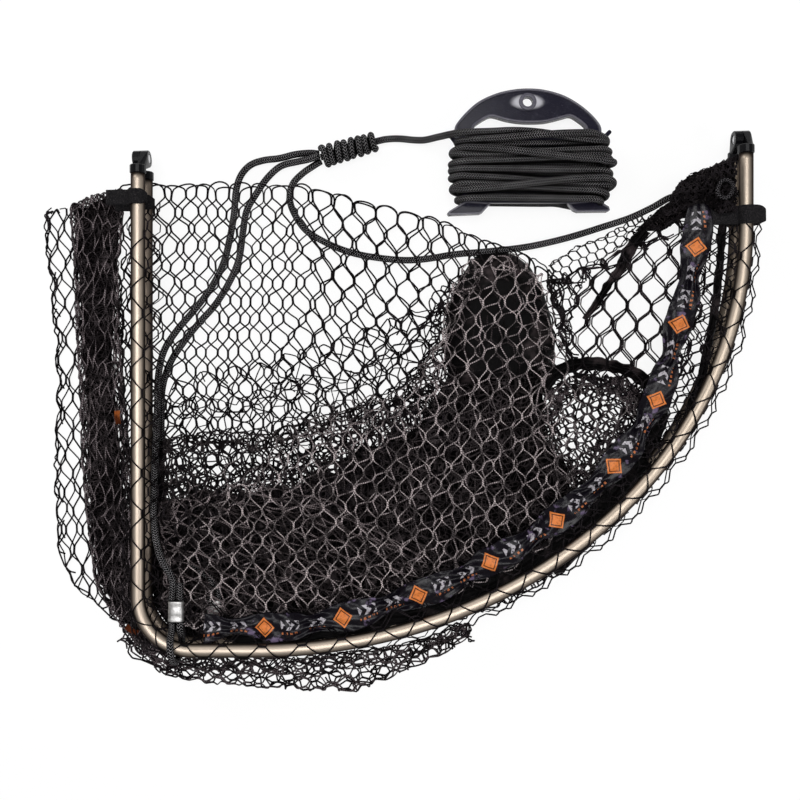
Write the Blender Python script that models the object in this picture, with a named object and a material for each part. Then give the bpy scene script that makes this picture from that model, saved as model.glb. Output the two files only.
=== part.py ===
"""Folding drop net, folded in half and laid flat, with its bridle, rope and line winder.

The ring is two tube halves that fold like a book about a hinge line.  The rear half
lies on the floor, the front half lies on it and swings up and over about the hinge.
Metres, +Z up.  The floor is z = 0, and the origin is under the middle of the object.
"""
import math

import bmesh
import bpy
from mathutils import Matrix, Vector

MM = 0.001
CLEARANCE = 0.0003

# Tube of both ring halves
TUBE_OD = 0.014
TUBE_WALL = 0.0012
TUBE_RESOLUTION = 3
STACK_PITCH = 0.028

# Plan of a ring half, at the tube's centreline
LEFT_X = -0.256
RIGHT_X = 0.352
CORNER_RADIUS = 0.0535
CORNER_Y = -0.203
SWEEP_START_X = -0.139
SWEEP_END_Y = 0.170
CORNER_STEPS = 8
SWEEP_STEPS = 18

# Hinges between the halves
HINGE_LEFT_Y = 0.2384
HINGE_RIGHT_Y = 0.2585
TUBE_SETBACK = 0.0184
SHOULDER_SETBACK = 0.0096
EAR_RADIUS = 0.0085
EAR_OUTER = 0.0080
EAR_CHAMFER = 0.0007
EAR_ROOT_RADIUS = 0.0070
EAR_ROOT_DEPTH = 0.0035
COLLAR_RADIUS = 0.0080
PLUG_LENGTH = 0.022
PIN_RADIUS = 0.0026
PIN_HEAD_RADIUS = 0.0044
PIN_HEAD_THICKNESS = 0.0014
WASHER_THICKNESS = 0.0010

# Rope and netting
ROPE_D = 0.007
ROPE_STEP = 3 * ROPE_D
NET_STRAND_WIDTH = 0.003
NET_STRAND_HEIGHT = 0.0026
FLOOR_NET_PITCH = 0.050
FLOOR_NET_ORIGIN = (0.0075, 0.0196)
SLEEVE_NET_PITCH = 0.041
SLEEVE_NET_ORIGIN = (-0.004, 0.0)
CELL_SHARE_INSIDE = 0.36
SLEEVE_OUTSIDE = 0.027
SLEEVE_INSIDE = 0.100
SLEEVE_TOP_Y = 0.150
SLEEVE_LEFT_X = -0.160

# Hem ribbon of the front half
RIBBON_WIDTH = 0.028
RIBBON_THICKNESS = 0.0012
RIBBON_STEP = 0.018

# Straps that hold the netting to the tube ends
STRAP_WIDTH = 0.015
STRAP_THICKNESS = 0.0020
STRAP_LEFT_DROP = 0.042
STRAP_RIGHT_DROP = 0.078
STRAP_LEFT_TAIL = 0.0235
STRAP_RIGHT_LOOP = 0.0076
STRAP_RIGHT_TAIL = 0.046

# Crimp ferrules and the rope loops round the tube
FERRULE_WIDTH = 0.0155
FERRULE_HEIGHT = 0.0092
FERRULE_LENGTH = 0.020
FERRULE_WAIST = 0.0007
LOOP_SPREAD = 0.0038
LOOP_SLACK = 0.0007
LOOP_POINTS = 14
LOOP_NECK_ANGLE = 38
TAIL_LENGTH = 0.024

# Knot that gathers the three legs
KNOT_WRAP_D = 0.0066
KNOT_PITCH = 0.0073
KNOT_POINTS_PER_TURN = 8

# Line winder and the rope wound on it, about its own centre
WINDER_X = 0.140
WINDER_Y = 0.251
WINDER_THICKNESS = 0.009
WINDER_RIM = 0.0022
WINDER_POCKET = 0.0026
WINDER_DRAFT = 0.0005
WINDER_HOLE_RADIUS = 0.0048
WINDER_BOSS_RADIUS = 0.0088
WINDER_BOSS_RISE = 0.0012
WEB_HALF_WIDTH = 0.0591
WINDING_HALF_WIDTH = 0.0845
WINDING_HALF_THICKNESS = 0.0165
WINDING_TOP = 0.0131
WINDING_BOTTOM = -0.0523
WINDING_TURNS = 8 + 7 / 12
WINDING_POINTS_PER_TURN = 24
WINDING_END_TAPER = 0.20
CORE_SECTIONS = 7

# Levels that follow from the stack: floor net, rope under the tube, tube
NET_TOP = NET_STRAND_HEIGHT + CLEARANCE
REAR_Z = NET_TOP + ROPE_D + 2 * CLEARANCE + LOOP_SLACK + TUBE_OD / 2
FRONT_Z = REAR_Z + STACK_PITCH
PIN_Z = (REAR_Z + FRONT_Z) / 2
BOTTOM_Y = CORNER_Y - CORNER_RADIUS
SLEEVE_Z = FRONT_Z + TUBE_OD / 2 + CLEARANCE
ROPE_ON_NET_Z = NET_TOP + ROPE_D / 2 + CLEARANCE
WINDING_Z = WINDING_HALF_THICKNESS + ROPE_D / 2 + CLEARANCE

HINGE_LEFT = Vector((LEFT_X, HINGE_LEFT_Y, PIN_Z))
HINGE_RIGHT = Vector((RIGHT_X, HINGE_RIGHT_Y, PIN_Z))
HINGE_AXIS = (HINGE_RIGHT - HINGE_LEFT).normalized()

# Finishes: base colour, roughness and metallic value
FINISHES = {
    "champagne_aluminium": ((0.52, 0.45, 0.33), 0.32, 1.0),
    "black_plastic": ((0.018, 0.018, 0.022), 0.30, 0.0),
    "steel": ((0.60, 0.60, 0.60), 0.28, 1.0),
    "silver_ferrule": ((0.72, 0.72, 0.74), 0.25, 1.0),
    "black_rope": ((0.020, 0.020, 0.022), 0.75, 0.0),
    "black_netting": ((0.025, 0.024, 0.024), 0.70, 0.0),
    "satin_ribbon": ((0.035, 0.028, 0.042), 0.35, 0.0),
    "hook_and_loop": ((0.022, 0.019, 0.020), 0.95, 0.0),
    "winder_plastic": ((0.030, 0.030, 0.042), 0.22, 0.0),
}

# Routes of the free ropes, chosen by hand, in millimetres: x, y, z
KNOT_LEFT = Vector((-77, 246, 11)) * MM
KNOT_RIGHT = Vector((-17, 263, 11)) * MM
LEG_FRONT_ROUTE = [
    (-88, 251, 9), (-103, 250, 7.5), (-120, 246, 7), (-136, 244, 7), (-150, 239, 7),
    (-160, 228, 7), (-165, 212, 7), (-167, 189, 7), (-171, 165, 7), (-178, 137, 7),
    (-191, 111, 7), (-209, 87, 8), (-226, 66, 11), (-238, 45, 15), (-243, 20, 18),
    (-243, -10, 22), (-243, -45, 27), (-243, -85, 33), (-242, -125, 40), (-235, -160, 45),
]
LEG_REAR_ROUTE = [
    (-88, 243, 15), (-101, 242, 9), (-118, 238, 7), (-132, 226, 7), (-144, 209, 7),
    (-154, 191, 7), (-158, 168, 7), (-162, 141, 7), (-172, 117, 7), (-187, 93, 7),
    (-204, 74, 7), (-220, 54, 7), (-234, 32, 7), (-242, 5, 7), (-243, -30, 7),
    (-243, -75, 7), (-242, -120, 8), (-232, -150, 11), (-210, -176, 16),
]
LEG_TIP_ROUTE = [
    (-84, 238, 8), (-96, 230, 7), (-106, 219, 7), (-109, 204, 7), (-104, 188, 7),
    (-92, 171, 7), (-73, 159, 7), (-52, 150, 7), (-28, 144, 7), (6, 140, 7),
    (32, 141, 7), (64, 146, 7), (99, 149, 7), (140, 154, 7), (180, 163, 7),
    (219, 175, 7), (246, 184, 7), (268, 194, 10),
]
MAIN_ROPE_ROUTE = [
    (-47, 254.5, 11), (-17, 263, 11), (-6, 265.6, 9), (6, 266.8, 6), (20, 266, 4.2),
    (32, 265.2, 7), (46, 265, 19),
]

# Outlines of the soft parts on the floor, in millimetres: x, y
FLOOR_NET_TOP_EDGE = [
    (369, 204), (321, 204), (300, 188), (258, 162), (216, 139), (158, 123), (127, 144),
    (90, 155), (58, 170), (6, 186), (-67, 208), (-109, 214), (-256, 216), (-364, 214),
]
FLOOR_NET_LEFT_EDGE = [
    (-372, 190), (-369, 140), (-369, 60), (-366, -79), (-356, -163), (-335, -207),
    (-302, -244), (-268, -276), (-241, -300), (-199, -306), (-120, -310), (-36, -312),
    (1, -297), (58, -272), (111, -238),
]
FLOOR_NET_OVERHANG = 0.021
HEAP_OUTLINE = [
    (-205, -50), (-150, -22), (-90, -12), (-30, -10), (40, -8), (110, -18), (150, -45),
    (166, -85), (148, -135), (92, -180), (0, -214), (-90, -228), (-150, -222),
    (-166, -190), (-196, -140), (-210, -95),
]
HEAP_HEIGHT = 0.026
PATCH_OUTLINE = [
    (78, 138), (104, 141), (130, 136), (151, 107), (166, 70), (176, 38), (170, 10),
    (110, 2), (52, 4), (54, 42), (61, 76), (68, 112),
]
PATCH_HEIGHT = 0.022
LEFT_GATHER_PATH = [
    (-309, 198), (-307, 140), (-306, 67), (-305, -6), (-305, -79), (-302, -140),
    (-295, -190), (-281, -225), (-258, -254), (-236, -270),
]
LEFT_GATHER_WIDTH = 0.046
LEFT_GATHER_HEIGHT = 0.0115
REAR_RIBBON_PATH = [(258, 168), (240, 142), (226, 120), (213, 99), (203, 82)]
REAR_RIBBON_WIDTH = 0.013
REAR_RIBBON_HEIGHT = 0.007
RIGHT_GATHER_OUTLINE = [
    (300, 180), (298, 196), (303, 212), (315, 227), (330, 235), (344.5, 238),
    (344.5, 193), (341, 188), (341, 180),
]
RIGHT_GATHER_HEIGHT = 0.0125

RIBBON_PATH = [
    (-190, -235), (-148, -235), (-105, -232.5), (-62, -226), (-21, -216), (20, -202.5),
    (59, -186), (98, -167.5), (135, -146), (170, -121), (203, -91), (230, -61), (251, -30),
    (267, 7), (280, 48), (291, 90), (299, 132), (303, 168),
]

# Outline of the line winder about its own centre, in millimetres: x, y
WINDER_OUTLINE = [
    (-59.1, 16.4), (-59.1, -56.5), (-74.0, -56.5), (-84.8, -63.7), (-83.3, -66.3),
    (-49.3, -65.3), (-42.2, -58.6), (42.2, -58.6), (48.3, -63.2), (80.2, -62.2),
    (81.7, -58.6), (72.0, -56.0), (59.1, -56.0), (59.1, 16.4), (71.0, 16.8),
    (79.5, 22.6), (81.0, 20.4), (82.6, 21.6), (79.0, 27.6), (74.0, 27.0),
    (68.9, 33.9), (61.5, 41.0), (54.5, 46.3), (38.0, 55.5), (20.6, 60.7),
    (0.0, 62.2), (-17.5, 61.2), (-36.0, 56.5), (-53.5, 48.3), (-62.0, 42.0),
    (-68.9, 36.0), (-74.8, 28.6), (-78.4, 27.0), (-82.0, 21.4), (-80.2, 20.2),
    (-77.6, 22.4), (-70.6, 16.8),
]
WINDER_WINDOW = [
    (-53.5, 19.5), (-46.3, 33.9), (-30.8, 31.4), (-15.4, 28.3), (0.0, 27.8),
    (15.4, 28.8), (28.8, 32.9), (39.1, 35.0), (49.3, 28.8), (53.5, 19.5),
    (50.4, 12.3), (-50.4, 12.3),
]
WINDER_HOLE_CENTRE = (-3.1, 48.8)


# Scene and object helpers

def clear_scene():
    """Remove every object that the scene holds."""
    for item in list(bpy.data.objects):
        bpy.data.objects.remove(item, do_unlink=True)


def finish_material(name):
    """Make, or fetch, the Principled material of one finish."""
    material = bpy.data.materials.get(name)
    if material:
        return material
    colour, roughness, metallic = FINISHES[name]
    material = bpy.data.materials.new(name)
    material.use_nodes = True
    shader = material.node_tree.nodes["Principled BSDF"]
    shader.inputs["Base Color"].default_value = (*colour, 1.0)
    shader.inputs["Roughness"].default_value = roughness
    shader.inputs["Metallic"].default_value = metallic
    return material


def make_empty(name, matrix):
    """Add an empty that carries one half of the ring."""
    empty = bpy.data.objects.new(name, None)
    empty.matrix_world = matrix
    bpy.context.scene.collection.objects.link(empty)
    return empty


def link_object(name, data, finish, carrier):
    """Link an object, give it its finish and hang it on its carrier in place."""
    item = bpy.data.objects.new(name, data)
    data.materials.append(finish_material(finish))
    bpy.context.scene.collection.objects.link(item)
    item.parent = carrier
    item.matrix_parent_inverse = carrier.matrix_world.inverted()
    return item


def mesh_object(name, bm, finish, carrier, smooth_angle=35):
    """Turn a bmesh into a named object with outward faces."""
    bmesh.ops.remove_doubles(bm, verts=bm.verts, dist=1e-6)
    bmesh.ops.recalc_face_normals(bm, faces=bm.faces)
    mesh = bpy.data.meshes.new(name)
    bm.to_mesh(mesh)
    bm.free()
    mesh.shade_smooth()
    mesh.set_sharp_from_angle(angle=math.radians(smooth_angle))
    return link_object(name, mesh, finish, carrier)


def hide_tool(item):
    """Mark a cutter or a joined shape as a guide that is not a piece itself."""
    item.hide_render = True
    item.display_type = "WIRE"


def boolean(item, tool, operation):
    """Join a tool shape to an object or cut it out."""
    hide_tool(tool)
    modifier = item.modifiers.new(operation.lower() + "_" + tool.name, "BOOLEAN")
    modifier.operation = operation
    modifier.solver = "EXACT"
    modifier.object = tool


def millimetres(points):
    """Turn hand-chosen points in millimetres into vectors in metres."""
    return [Vector(point) * MM for point in points]


# Shape helpers

def prism(loops, depth, matrix):
    """Fill plane loops, the later ones as holes, and extrude them along local +Z."""
    bm = bmesh.new()
    edges = []
    for loop in loops:
        verts = [bm.verts.new((point[0], point[1], 0)) for point in loop]
        for first, second in zip(verts, verts[1:] + verts[:1]):
            edges.append(bm.edges.new((first, second)))
    bmesh.ops.triangle_fill(bm, use_beauty=True, edges=edges, normal=(0, 0, 1))
    grown = bmesh.ops.extrude_face_region(bm, geom=list(bm.faces))
    lifted = [part for part in grown["geom"] if isinstance(part, bmesh.types.BMVert)]
    bmesh.ops.translate(bm, verts=lifted, vec=(0, 0, depth))
    bmesh.ops.transform(bm, matrix=matrix, verts=bm.verts)
    return bm


def lathe(profile, segments, matrix):
    """Turn a profile of radius and height about local Z into a closed body."""
    bm = bmesh.new()
    verts = [bm.verts.new((radius, 0, height)) for radius, height in profile]
    edges = [bm.edges.new(pair) for pair in zip(verts, verts[1:])]
    bmesh.ops.spin(
        bm, geom=verts + edges, cent=(0, 0, 0), axis=(0, 0, 1), dvec=(0, 0, 0),
        angle=2 * math.pi, steps=segments, use_merge=True, use_duplicate=False,
    )
    bmesh.ops.remove_doubles(bm, verts=bm.verts, dist=1e-6)
    bmesh.ops.transform(bm, matrix=matrix, verts=bm.verts)
    return bm


def ring(radius, count, centre=(0, 0), start=0.0):
    """Points of a circle in its plane."""
    step = 2 * math.pi / count
    return [
        (centre[0] + radius * math.cos(start + k * step),
         centre[1] + radius * math.sin(start + k * step))
        for k in range(count)
    ]


def smooth_route(points, spacing):
    """Read a smooth curve through the route's points at even steps of its length."""
    ends = [2 * points[0] - points[1]] + points + [2 * points[-1] - points[-2]]
    dense = []
    for p0, p1, p2, p3 in zip(ends, ends[1:], ends[2:], ends[3:]):
        for k in range(12):
            t = k / 12
            dense.append(0.5 * (
                2 * p1 + (p2 - p0) * t + (2 * p0 - 5 * p1 + 4 * p2 - p3) * t ** 2
                + (3 * p1 - p0 - 3 * p2 + p3) * t ** 3
            ))
    dense.append(points[-1])
    return even_steps(dense, spacing)


def even_steps(points, spacing):
    """Pick points along a polyline at even steps, with both of its ends."""
    lengths = [0.0]
    for first, second in zip(points, points[1:]):
        lengths.append(lengths[-1] + (second - first).length)
    count = max(2, round(lengths[-1] / spacing))
    picked = []
    index = 0
    for k in range(count + 1):
        target = lengths[-1] * k / count
        while index < len(points) - 2 and lengths[index + 1] < target:
            index += 1
        span = lengths[index + 1] - lengths[index]
        share = (target - lengths[index]) / span if span else 0.0
        picked.append(points[index].lerp(points[index + 1], min(1.0, share)))
    return picked


def tube_curve(name, points, diameter, resolution, finish, carrier, caps=True):
    """A round tube along a poly line."""
    data = bpy.data.curves.new(name, "CURVE")
    data.dimensions = "3D"
    data.bevel_depth = diameter / 2
    data.bevel_resolution = resolution
    data.use_fill_caps = caps
    data.render_resolution_u = 0
    data.twist_mode = "MINIMUM"
    spline = data.splines.new("POLY")
    spline.points.add(len(points) - 1)
    for slot, point in zip(spline.points, points):
        slot.co = (*point, 1.0)
    return link_object(name, data, finish, carrier)


def rope(name, points, carrier):
    """A free stretch of rope on a smooth route."""
    route = smooth_route(points, ROPE_STEP)
    return tube_curve(name, route, ROPE_D, 2, "black_rope", carrier)


def least_gap(points, diameter, points_per_turn):
    """Least distance between turns of a winding, less its diameter."""
    skip = points_per_turn // 2
    best = min(
        (first - second).length
        for i, first in enumerate(points)
        for second in points[i + skip:i + 2 * points_per_turn]
    )
    return best - diameter


# Plan of the ring

def tube_end_y(side_y):
    """Where a tube ends, behind the hinge pin of its side."""
    return side_y - TUBE_SETBACK


def ring_plan(end_left=None, end_right=None):
    """Centreline of a ring half as plane points, from its left end to its right end."""
    left_end = tube_end_y(HINGE_LEFT_Y) if end_left is None else end_left
    right_end = tube_end_y(HINGE_RIGHT_Y) if end_right is None else end_right
    plan = [Vector((LEFT_X, left_end))]
    for k in range(CORNER_STEPS + 1):
        angle = math.pi + 0.5 * math.pi * k / CORNER_STEPS
        plan.append(Vector((
            LEFT_X + CORNER_RADIUS + CORNER_RADIUS * math.cos(angle),
            CORNER_Y + CORNER_RADIUS * math.sin(angle),
        )))
    for k in range(SWEEP_STEPS + 1):
        angle = -0.5 * math.pi * (1 - k / SWEEP_STEPS)
        plan.append(Vector((
            SWEEP_START_X + (RIGHT_X - SWEEP_START_X) * math.cos(angle),
            SWEEP_END_Y + (SWEEP_END_Y - BOTTOM_Y) * math.sin(angle),
        )))
    plan.append(Vector((RIGHT_X, right_end)))
    return plan


def plan_with_normals(plan):
    """Each plane point with the unit vector that points to the inside of the ring."""
    result = []
    for index, point in enumerate(plan):
        before = plan[max(0, index - 1)]
        after = plan[min(len(plan) - 1, index + 1)]
        along = (after - before).normalized()
        result.append((point, Vector((-along.y, along.x))))
    return result


def distance_inside(x, y, guide):
    """Signed distance from the tube's centreline, positive inside the ring."""
    point = Vector((x, y))
    best = None
    for (first, normal), (second, _) in zip(guide, guide[1:]):
        along = second - first
        share = max(0.0, min(1.0, (point - first).dot(along) / along.length_squared))
        offset = point - (first + along * share)
        side = 1 if offset.dot(Vector((-along.y, along.x))) >= 0 else -1
        if best is None or offset.length < abs(best):
            best = side * offset.length
    return best


def inside_polygon(x, y, outline):
    """Whether a plane point lies inside a closed outline."""
    inside = False
    for first, second in zip(outline, outline[1:] + outline[:1]):
        if (first[1] > y) != (second[1] > y):
            crossing = first[0] + (y - first[1]) * (second[0] - first[0]) / (second[1] - first[1])
            if x < crossing:
                inside = not inside
    return inside


# Frame tubes and hinges

def frame_tube(name, level, carrier):
    """One hollow half of the ring, open at both ends."""
    points = [Vector((point.x, point.y, level)) for point in ring_plan()]
    tube = tube_curve(
        name, points, TUBE_OD, TUBE_RESOLUTION, "champagne_aluminium", carrier, caps=False)
    wall = tube.modifiers.new("wall", "SOLIDIFY")
    wall.thickness = TUBE_WALL
    wall.offset = -1
    return tube


def hinge_matrix(pin):
    """Frame at a pin: local X along the hinge line, local Z up."""
    turn = math.atan2(HINGE_AXIS.y, HINGE_AXIS.x)
    return Matrix.Translation(pin) @ Matrix.Rotation(turn, 4, "Z")


def hinge_ear(name, pin, drop, side, carrier):
    """Ear of a fitting: a round plate on the pin, drawn back into the fitting's collar."""
    root_y = -(SHOULDER_SETBACK + EAR_ROOT_DEPTH)
    plates = [
        (CLEARANCE, EAR_RADIUS), (EAR_OUTER - EAR_CHAMFER, EAR_RADIUS),
        (EAR_OUTER, EAR_RADIUS - EAR_CHAMFER),
    ]
    bm = bmesh.new()
    for across, radius in plates:
        for y, z in ring(radius, 16):
            bm.verts.new((side * across, y, z))
    for k in range(7):
        angle = math.pi * (k / 6 - 0.5)
        across = max(CLEARANCE, EAR_ROOT_RADIUS * math.cos(angle))
        bm.verts.new((side * across, root_y, drop + EAR_ROOT_RADIUS * math.sin(angle)))
    hull = bmesh.ops.convex_hull(bm, input=bm.verts)
    bmesh.ops.delete(bm, geom=hull["geom_interior"], context="VERTS")
    bmesh.ops.transform(bm, matrix=hinge_matrix(pin), verts=bm.verts)
    return mesh_object(name, bm, "black_plastic", carrier)


def hinge_fitting(name, pin, level, side, carrier):
    """Moulded end fitting: plug in the tube, collar, and one ear that laps the other's."""
    drop = level - PIN_Z
    tube_end = TUBE_SETBACK - CLEARANCE
    plug_end = tube_end + PLUG_LENGTH
    facet = math.cos(math.pi / (2 * (TUBE_RESOLUTION + 2)))
    plug_radius = (TUBE_OD / 2 - TUBE_WALL) * facet - CLEARANCE
    axis = Matrix.Translation((pin.x, pin.y, level)) @ Matrix.Rotation(math.radians(90), 4, "X")
    body = mesh_object(name, lathe([
        (0, SHOULDER_SETBACK), (COLLAR_RADIUS - EAR_CHAMFER, SHOULDER_SETBACK),
        (COLLAR_RADIUS, SHOULDER_SETBACK + EAR_CHAMFER), (COLLAR_RADIUS, tube_end - EAR_CHAMFER),
        (COLLAR_RADIUS - EAR_CHAMFER, tube_end), (plug_radius, tube_end),
        (plug_radius, plug_end - EAR_CHAMFER), (plug_radius - EAR_CHAMFER, plug_end),
        (0, plug_end),
    ], 16, axis), "black_plastic", carrier)
    boolean(body, hinge_ear(name + "_ear", pin, drop, side, carrier), "UNION")
    bore_axis = hinge_matrix(pin) @ Matrix.Rotation(math.radians(90), 4, "Y")
    bore_radius = PIN_RADIUS + CLEARANCE
    seat_radius = PIN_HEAD_RADIUS + CLEARANCE
    seat_depth = PIN_HEAD_THICKNESS + 2 * CLEARANCE
    for part, radius, low, high in (
        ("_bore", bore_radius, -2 * EAR_OUTER, 2 * EAR_OUTER),
        ("_seat", seat_radius, EAR_OUTER - seat_depth, 2 * EAR_OUTER),
    ):
        cutter = mesh_object(name + part, lathe(
            [(0, side * low), (radius, side * low), (radius, side * high), (0, side * high)],
            12, bore_axis), "black_plastic", carrier)
        boolean(body, cutter, "DIFFERENCE")
    return body


def hinge_pin(name, pin, carrier):
    """Headed pin through both ears, its head seated in the front half's ear."""
    axis = hinge_matrix(pin) @ Matrix.Rotation(math.radians(90), 4, "Y")
    head_face = EAR_OUTER - CLEARANCE
    head_root = head_face - PIN_HEAD_THICKNESS
    tip = -(EAR_OUTER - CLEARANCE)
    profile = [
        (0, tip), (PIN_RADIUS - CLEARANCE, tip), (PIN_RADIUS, tip + CLEARANCE),
        (PIN_RADIUS, head_root), (PIN_HEAD_RADIUS, head_root),
        (PIN_HEAD_RADIUS, head_face - CLEARANCE), (PIN_HEAD_RADIUS - CLEARANCE, head_face),
        (0, head_face),
    ]
    return mesh_object(name, lathe(profile, 16, axis), "steel", carrier)


def hinge_washer(name, pin, carrier):
    """Push-on washer that keeps the pin, seated in the rear half's ear."""
    axis = hinge_matrix(pin) @ Matrix.Rotation(math.radians(90), 4, "Y")
    inner = PIN_RADIUS + CLEARANCE
    high = -(EAR_OUTER - PIN_HEAD_THICKNESS - CLEARANCE)
    low = high - WASHER_THICKNESS
    profile = [
        (inner, low), (PIN_HEAD_RADIUS, low), (PIN_HEAD_RADIUS, high), (inner, high),
        (inner, low),
    ]
    return mesh_object(name, lathe(profile, 16, axis), "steel", carrier)


# Netting

def hexagon_corners(cell):
    """Corner keys of a net cell in lattice units, counted anticlockwise from its top."""
    x, y = cell
    return [(x, y + 2), (x - 1, y + 1), (x - 1, y - 1), (x, y - 2), (x + 1, y - 1), (x + 1, y + 1)]


def hexagon_neighbours(cell):
    """Cells across the sides that follow each corner of hexagon_corners."""
    x, y = cell
    return [(x - 1, y + 3), (x - 2, y), (x - 1, y - 3), (x + 1, y - 3), (x + 2, y), (x + 1, y + 3)]


def net_cells(pitch, origin, accept):
    """Lattice cells that lie on the panel for the most part."""
    unit_x = pitch / 2
    unit_y = pitch / (2 * math.sqrt(3))
    reach = int(0.8 / pitch)
    cells = set()
    for row in range(-reach, reach + 1):
        for column in range(-reach, reach + 1):
            cell = (2 * column + row % 2, 3 * row)
            middle = (origin[0] + cell[0] * unit_x, origin[1] + cell[1] * unit_y)
            if all(accept(x, y) for x, y in ring(CELL_SHARE_INSIDE * pitch, 8, middle)):
                cells.add(cell)
    return cells


def net_panel(name, pitch, origin, level, accept, carrier):
    """A flat panel of six-sided meshes: each strand has a flat foot and a ridge."""
    unit_x = pitch / 2
    unit_y = pitch / (2 * math.sqrt(3))
    narrow = 1 - NET_STRAND_WIDTH / pitch
    cells = net_cells(pitch, origin, accept)
    bm = bmesh.new()
    ridges = {}
    feet = {}
    around = {}

    def ridge(key):
        if key not in ridges:
            ridges[key] = bm.verts.new((
                origin[0] + key[0] * unit_x, origin[1] + key[1] * unit_y,
                level + NET_STRAND_HEIGHT))
        return ridges[key]

    def foot(cell, key):
        if (cell, key) not in feet:
            x = cell[0] + (key[0] - cell[0]) * narrow
            y = cell[1] + (key[1] - cell[1]) * narrow
            feet[cell, key] = bm.verts.new(
                (origin[0] + x * unit_x, origin[1] + y * unit_y, level))
            around.setdefault(key, {})[cell] = feet[cell, key]
        return feet[cell, key]

    strands = {}
    for cell in cells:
        corners = hexagon_corners(cell)
        for k, other in enumerate(hexagon_neighbours(cell)):
            ends = (corners[k], corners[(k + 1) % 6])
            strands.setdefault(frozenset(ends), (cell, other, ends))
    joined = {}
    for cell, other, (first, second) in strands.values():
        for side in (cell, other):
            bm.faces.new((ridge(first), ridge(second), foot(side, second), foot(side, first)))
        bm.faces.new((foot(cell, first), foot(cell, second), foot(other, second), foot(other, first)))
        joined.setdefault(first, set()).add(frozenset((cell, other)))
        joined.setdefault(second, set()).add(frozenset((cell, other)))
    for key, sides in around.items():
        members = list(sides)
        bm.faces.new([sides[member] for member in members])
        for i in range(3):
            pair = frozenset((members[i], members[(i + 1) % 3]))
            if pair not in joined[key]:
                first, second = pair
                bm.faces.new((ridge(key), sides[first], sides[second]))
    print(name, "has", len(cells), "meshes; a strand's underside is centred at",
          (round(origin[0] - unit_x, 5), round(origin[1], 5), round(level, 5)))
    return mesh_object(name, bm, "black_netting", carrier, smooth_angle=10)


def floor_net(carrier):
    """Lower panel of the netting, spread over the floor under the whole ring."""
    outer = []
    for point, normal in plan_with_normals(ring_plan()):
        if point.x > SWEEP_START_X and point.y > BOTTOM_Y * 0.86:
            outer.append(tuple(point - normal * FLOOR_NET_OVERHANG))
    outline = [tuple(point) for point in millimetres(
        [(x, y, 0) for x, y in FLOOR_NET_LEFT_EDGE])]
    outline = [(x, y) for x, y, _ in outline] + outer
    outline += [(x * MM, y * MM) for x, y in FLOOR_NET_TOP_EDGE]
    return net_panel(
        "net_lower_panel", FLOOR_NET_PITCH, FLOOR_NET_ORIGIN, 0.0,
        lambda x, y: inside_polygon(x, y, outline), carrier)


def sleeve_net(carrier):
    """Band of netting over the front tube, from the bottom run to the right side."""
    guide = plan_with_normals(ring_plan())

    def accept(x, y):
        if y > SLEEVE_TOP_Y or x < SLEEVE_LEFT_X:
            return False
        return -SLEEVE_OUTSIDE < distance_inside(x, y, guide) < SLEEVE_INSIDE

    return net_panel(
        "net_front_sleeve", SLEEVE_NET_PITCH, SLEEVE_NET_ORIGIN, SLEEVE_Z, accept, carrier)


# Soft parts

def mound(name, outline, base, height, finish, carrier, folds=0.12):
    """A soft heap on a flat foot: full in the middle, low at its edge, with folds."""
    points = [Vector((x, y)) for x, y in outline]
    centre = sum(points, Vector((0, 0))) / len(points)
    bm = bmesh.new()
    foot = [bm.verts.new((point.x, point.y, base)) for point in points]
    bm.faces.new(foot)
    below = foot
    for scale, share in ((0.97, 0.42), (0.84, 0.74), (0.62, 0.92), (0.34, 1.0)):
        level = []
        for k, point in enumerate(points):
            place = centre + (point - centre) * scale
            crease = 1 - folds * (k % 2) - folds * 0.5 * math.sin(5 * k)
            level.append(bm.verts.new((place.x, place.y, base + height * share * crease)))
        for i in range(len(points)):
            j = (i + 1) % len(points)
            bm.faces.new((below[i], below[j], level[j], level[i]))
        below = level
    top = bm.verts.new((centre.x, centre.y, base + height * (1 - folds)))
    for i in range(len(points)):
        bm.faces.new((below[i], below[(i + 1) % len(points)], top))
    return mesh_object(name, bm, finish, carrier, smooth_angle=60)


def loaf(name, path, width, base, height, finish, carrier, folds=3, spacing=0.035):
    """A gathered strip on a flat foot, its top drawn into folds along its length."""
    route = smooth_route([Vector((x, y, 0)) for x, y in path], spacing)
    across = 2 * folds + 2
    bm = bmesh.new()
    rows = []
    for index, point in enumerate(route):
        before = route[max(0, index - 1)]
        after = route[min(len(route) - 1, index + 1)]
        along = (after - before).normalized()
        side = Vector((-along.y, along.x, 0))
        swell = 1 + 0.10 * math.sin(2.3 * index)
        row = []
        for k in range(across + 1):
            share = 2 * k / across - 1
            crown = (1 - abs(share) ** 2.4) * (0.90 + 0.10 * (-1) ** k)
            level = base + height * max(0.22, crown * swell / 1.1)
            row.append(bm.verts.new(point + side * share * width / 2 + Vector((0, 0, level))))
        row.append(bm.verts.new(point + side * width / 2 + Vector((0, 0, base))))
        row.append(bm.verts.new(point - side * width / 2 + Vector((0, 0, base))))
        rows.append(row)
    count = len(rows[0])
    for first, second in zip(rows, rows[1:]):
        for k in range(count):
            n = (k + 1) % count
            bm.faces.new((first[k], first[n], second[n], second[k]))
    bm.faces.new(rows[0])
    bm.faces.new(rows[-1])
    return mesh_object(name, bm, finish, carrier, smooth_angle=60)


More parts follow.
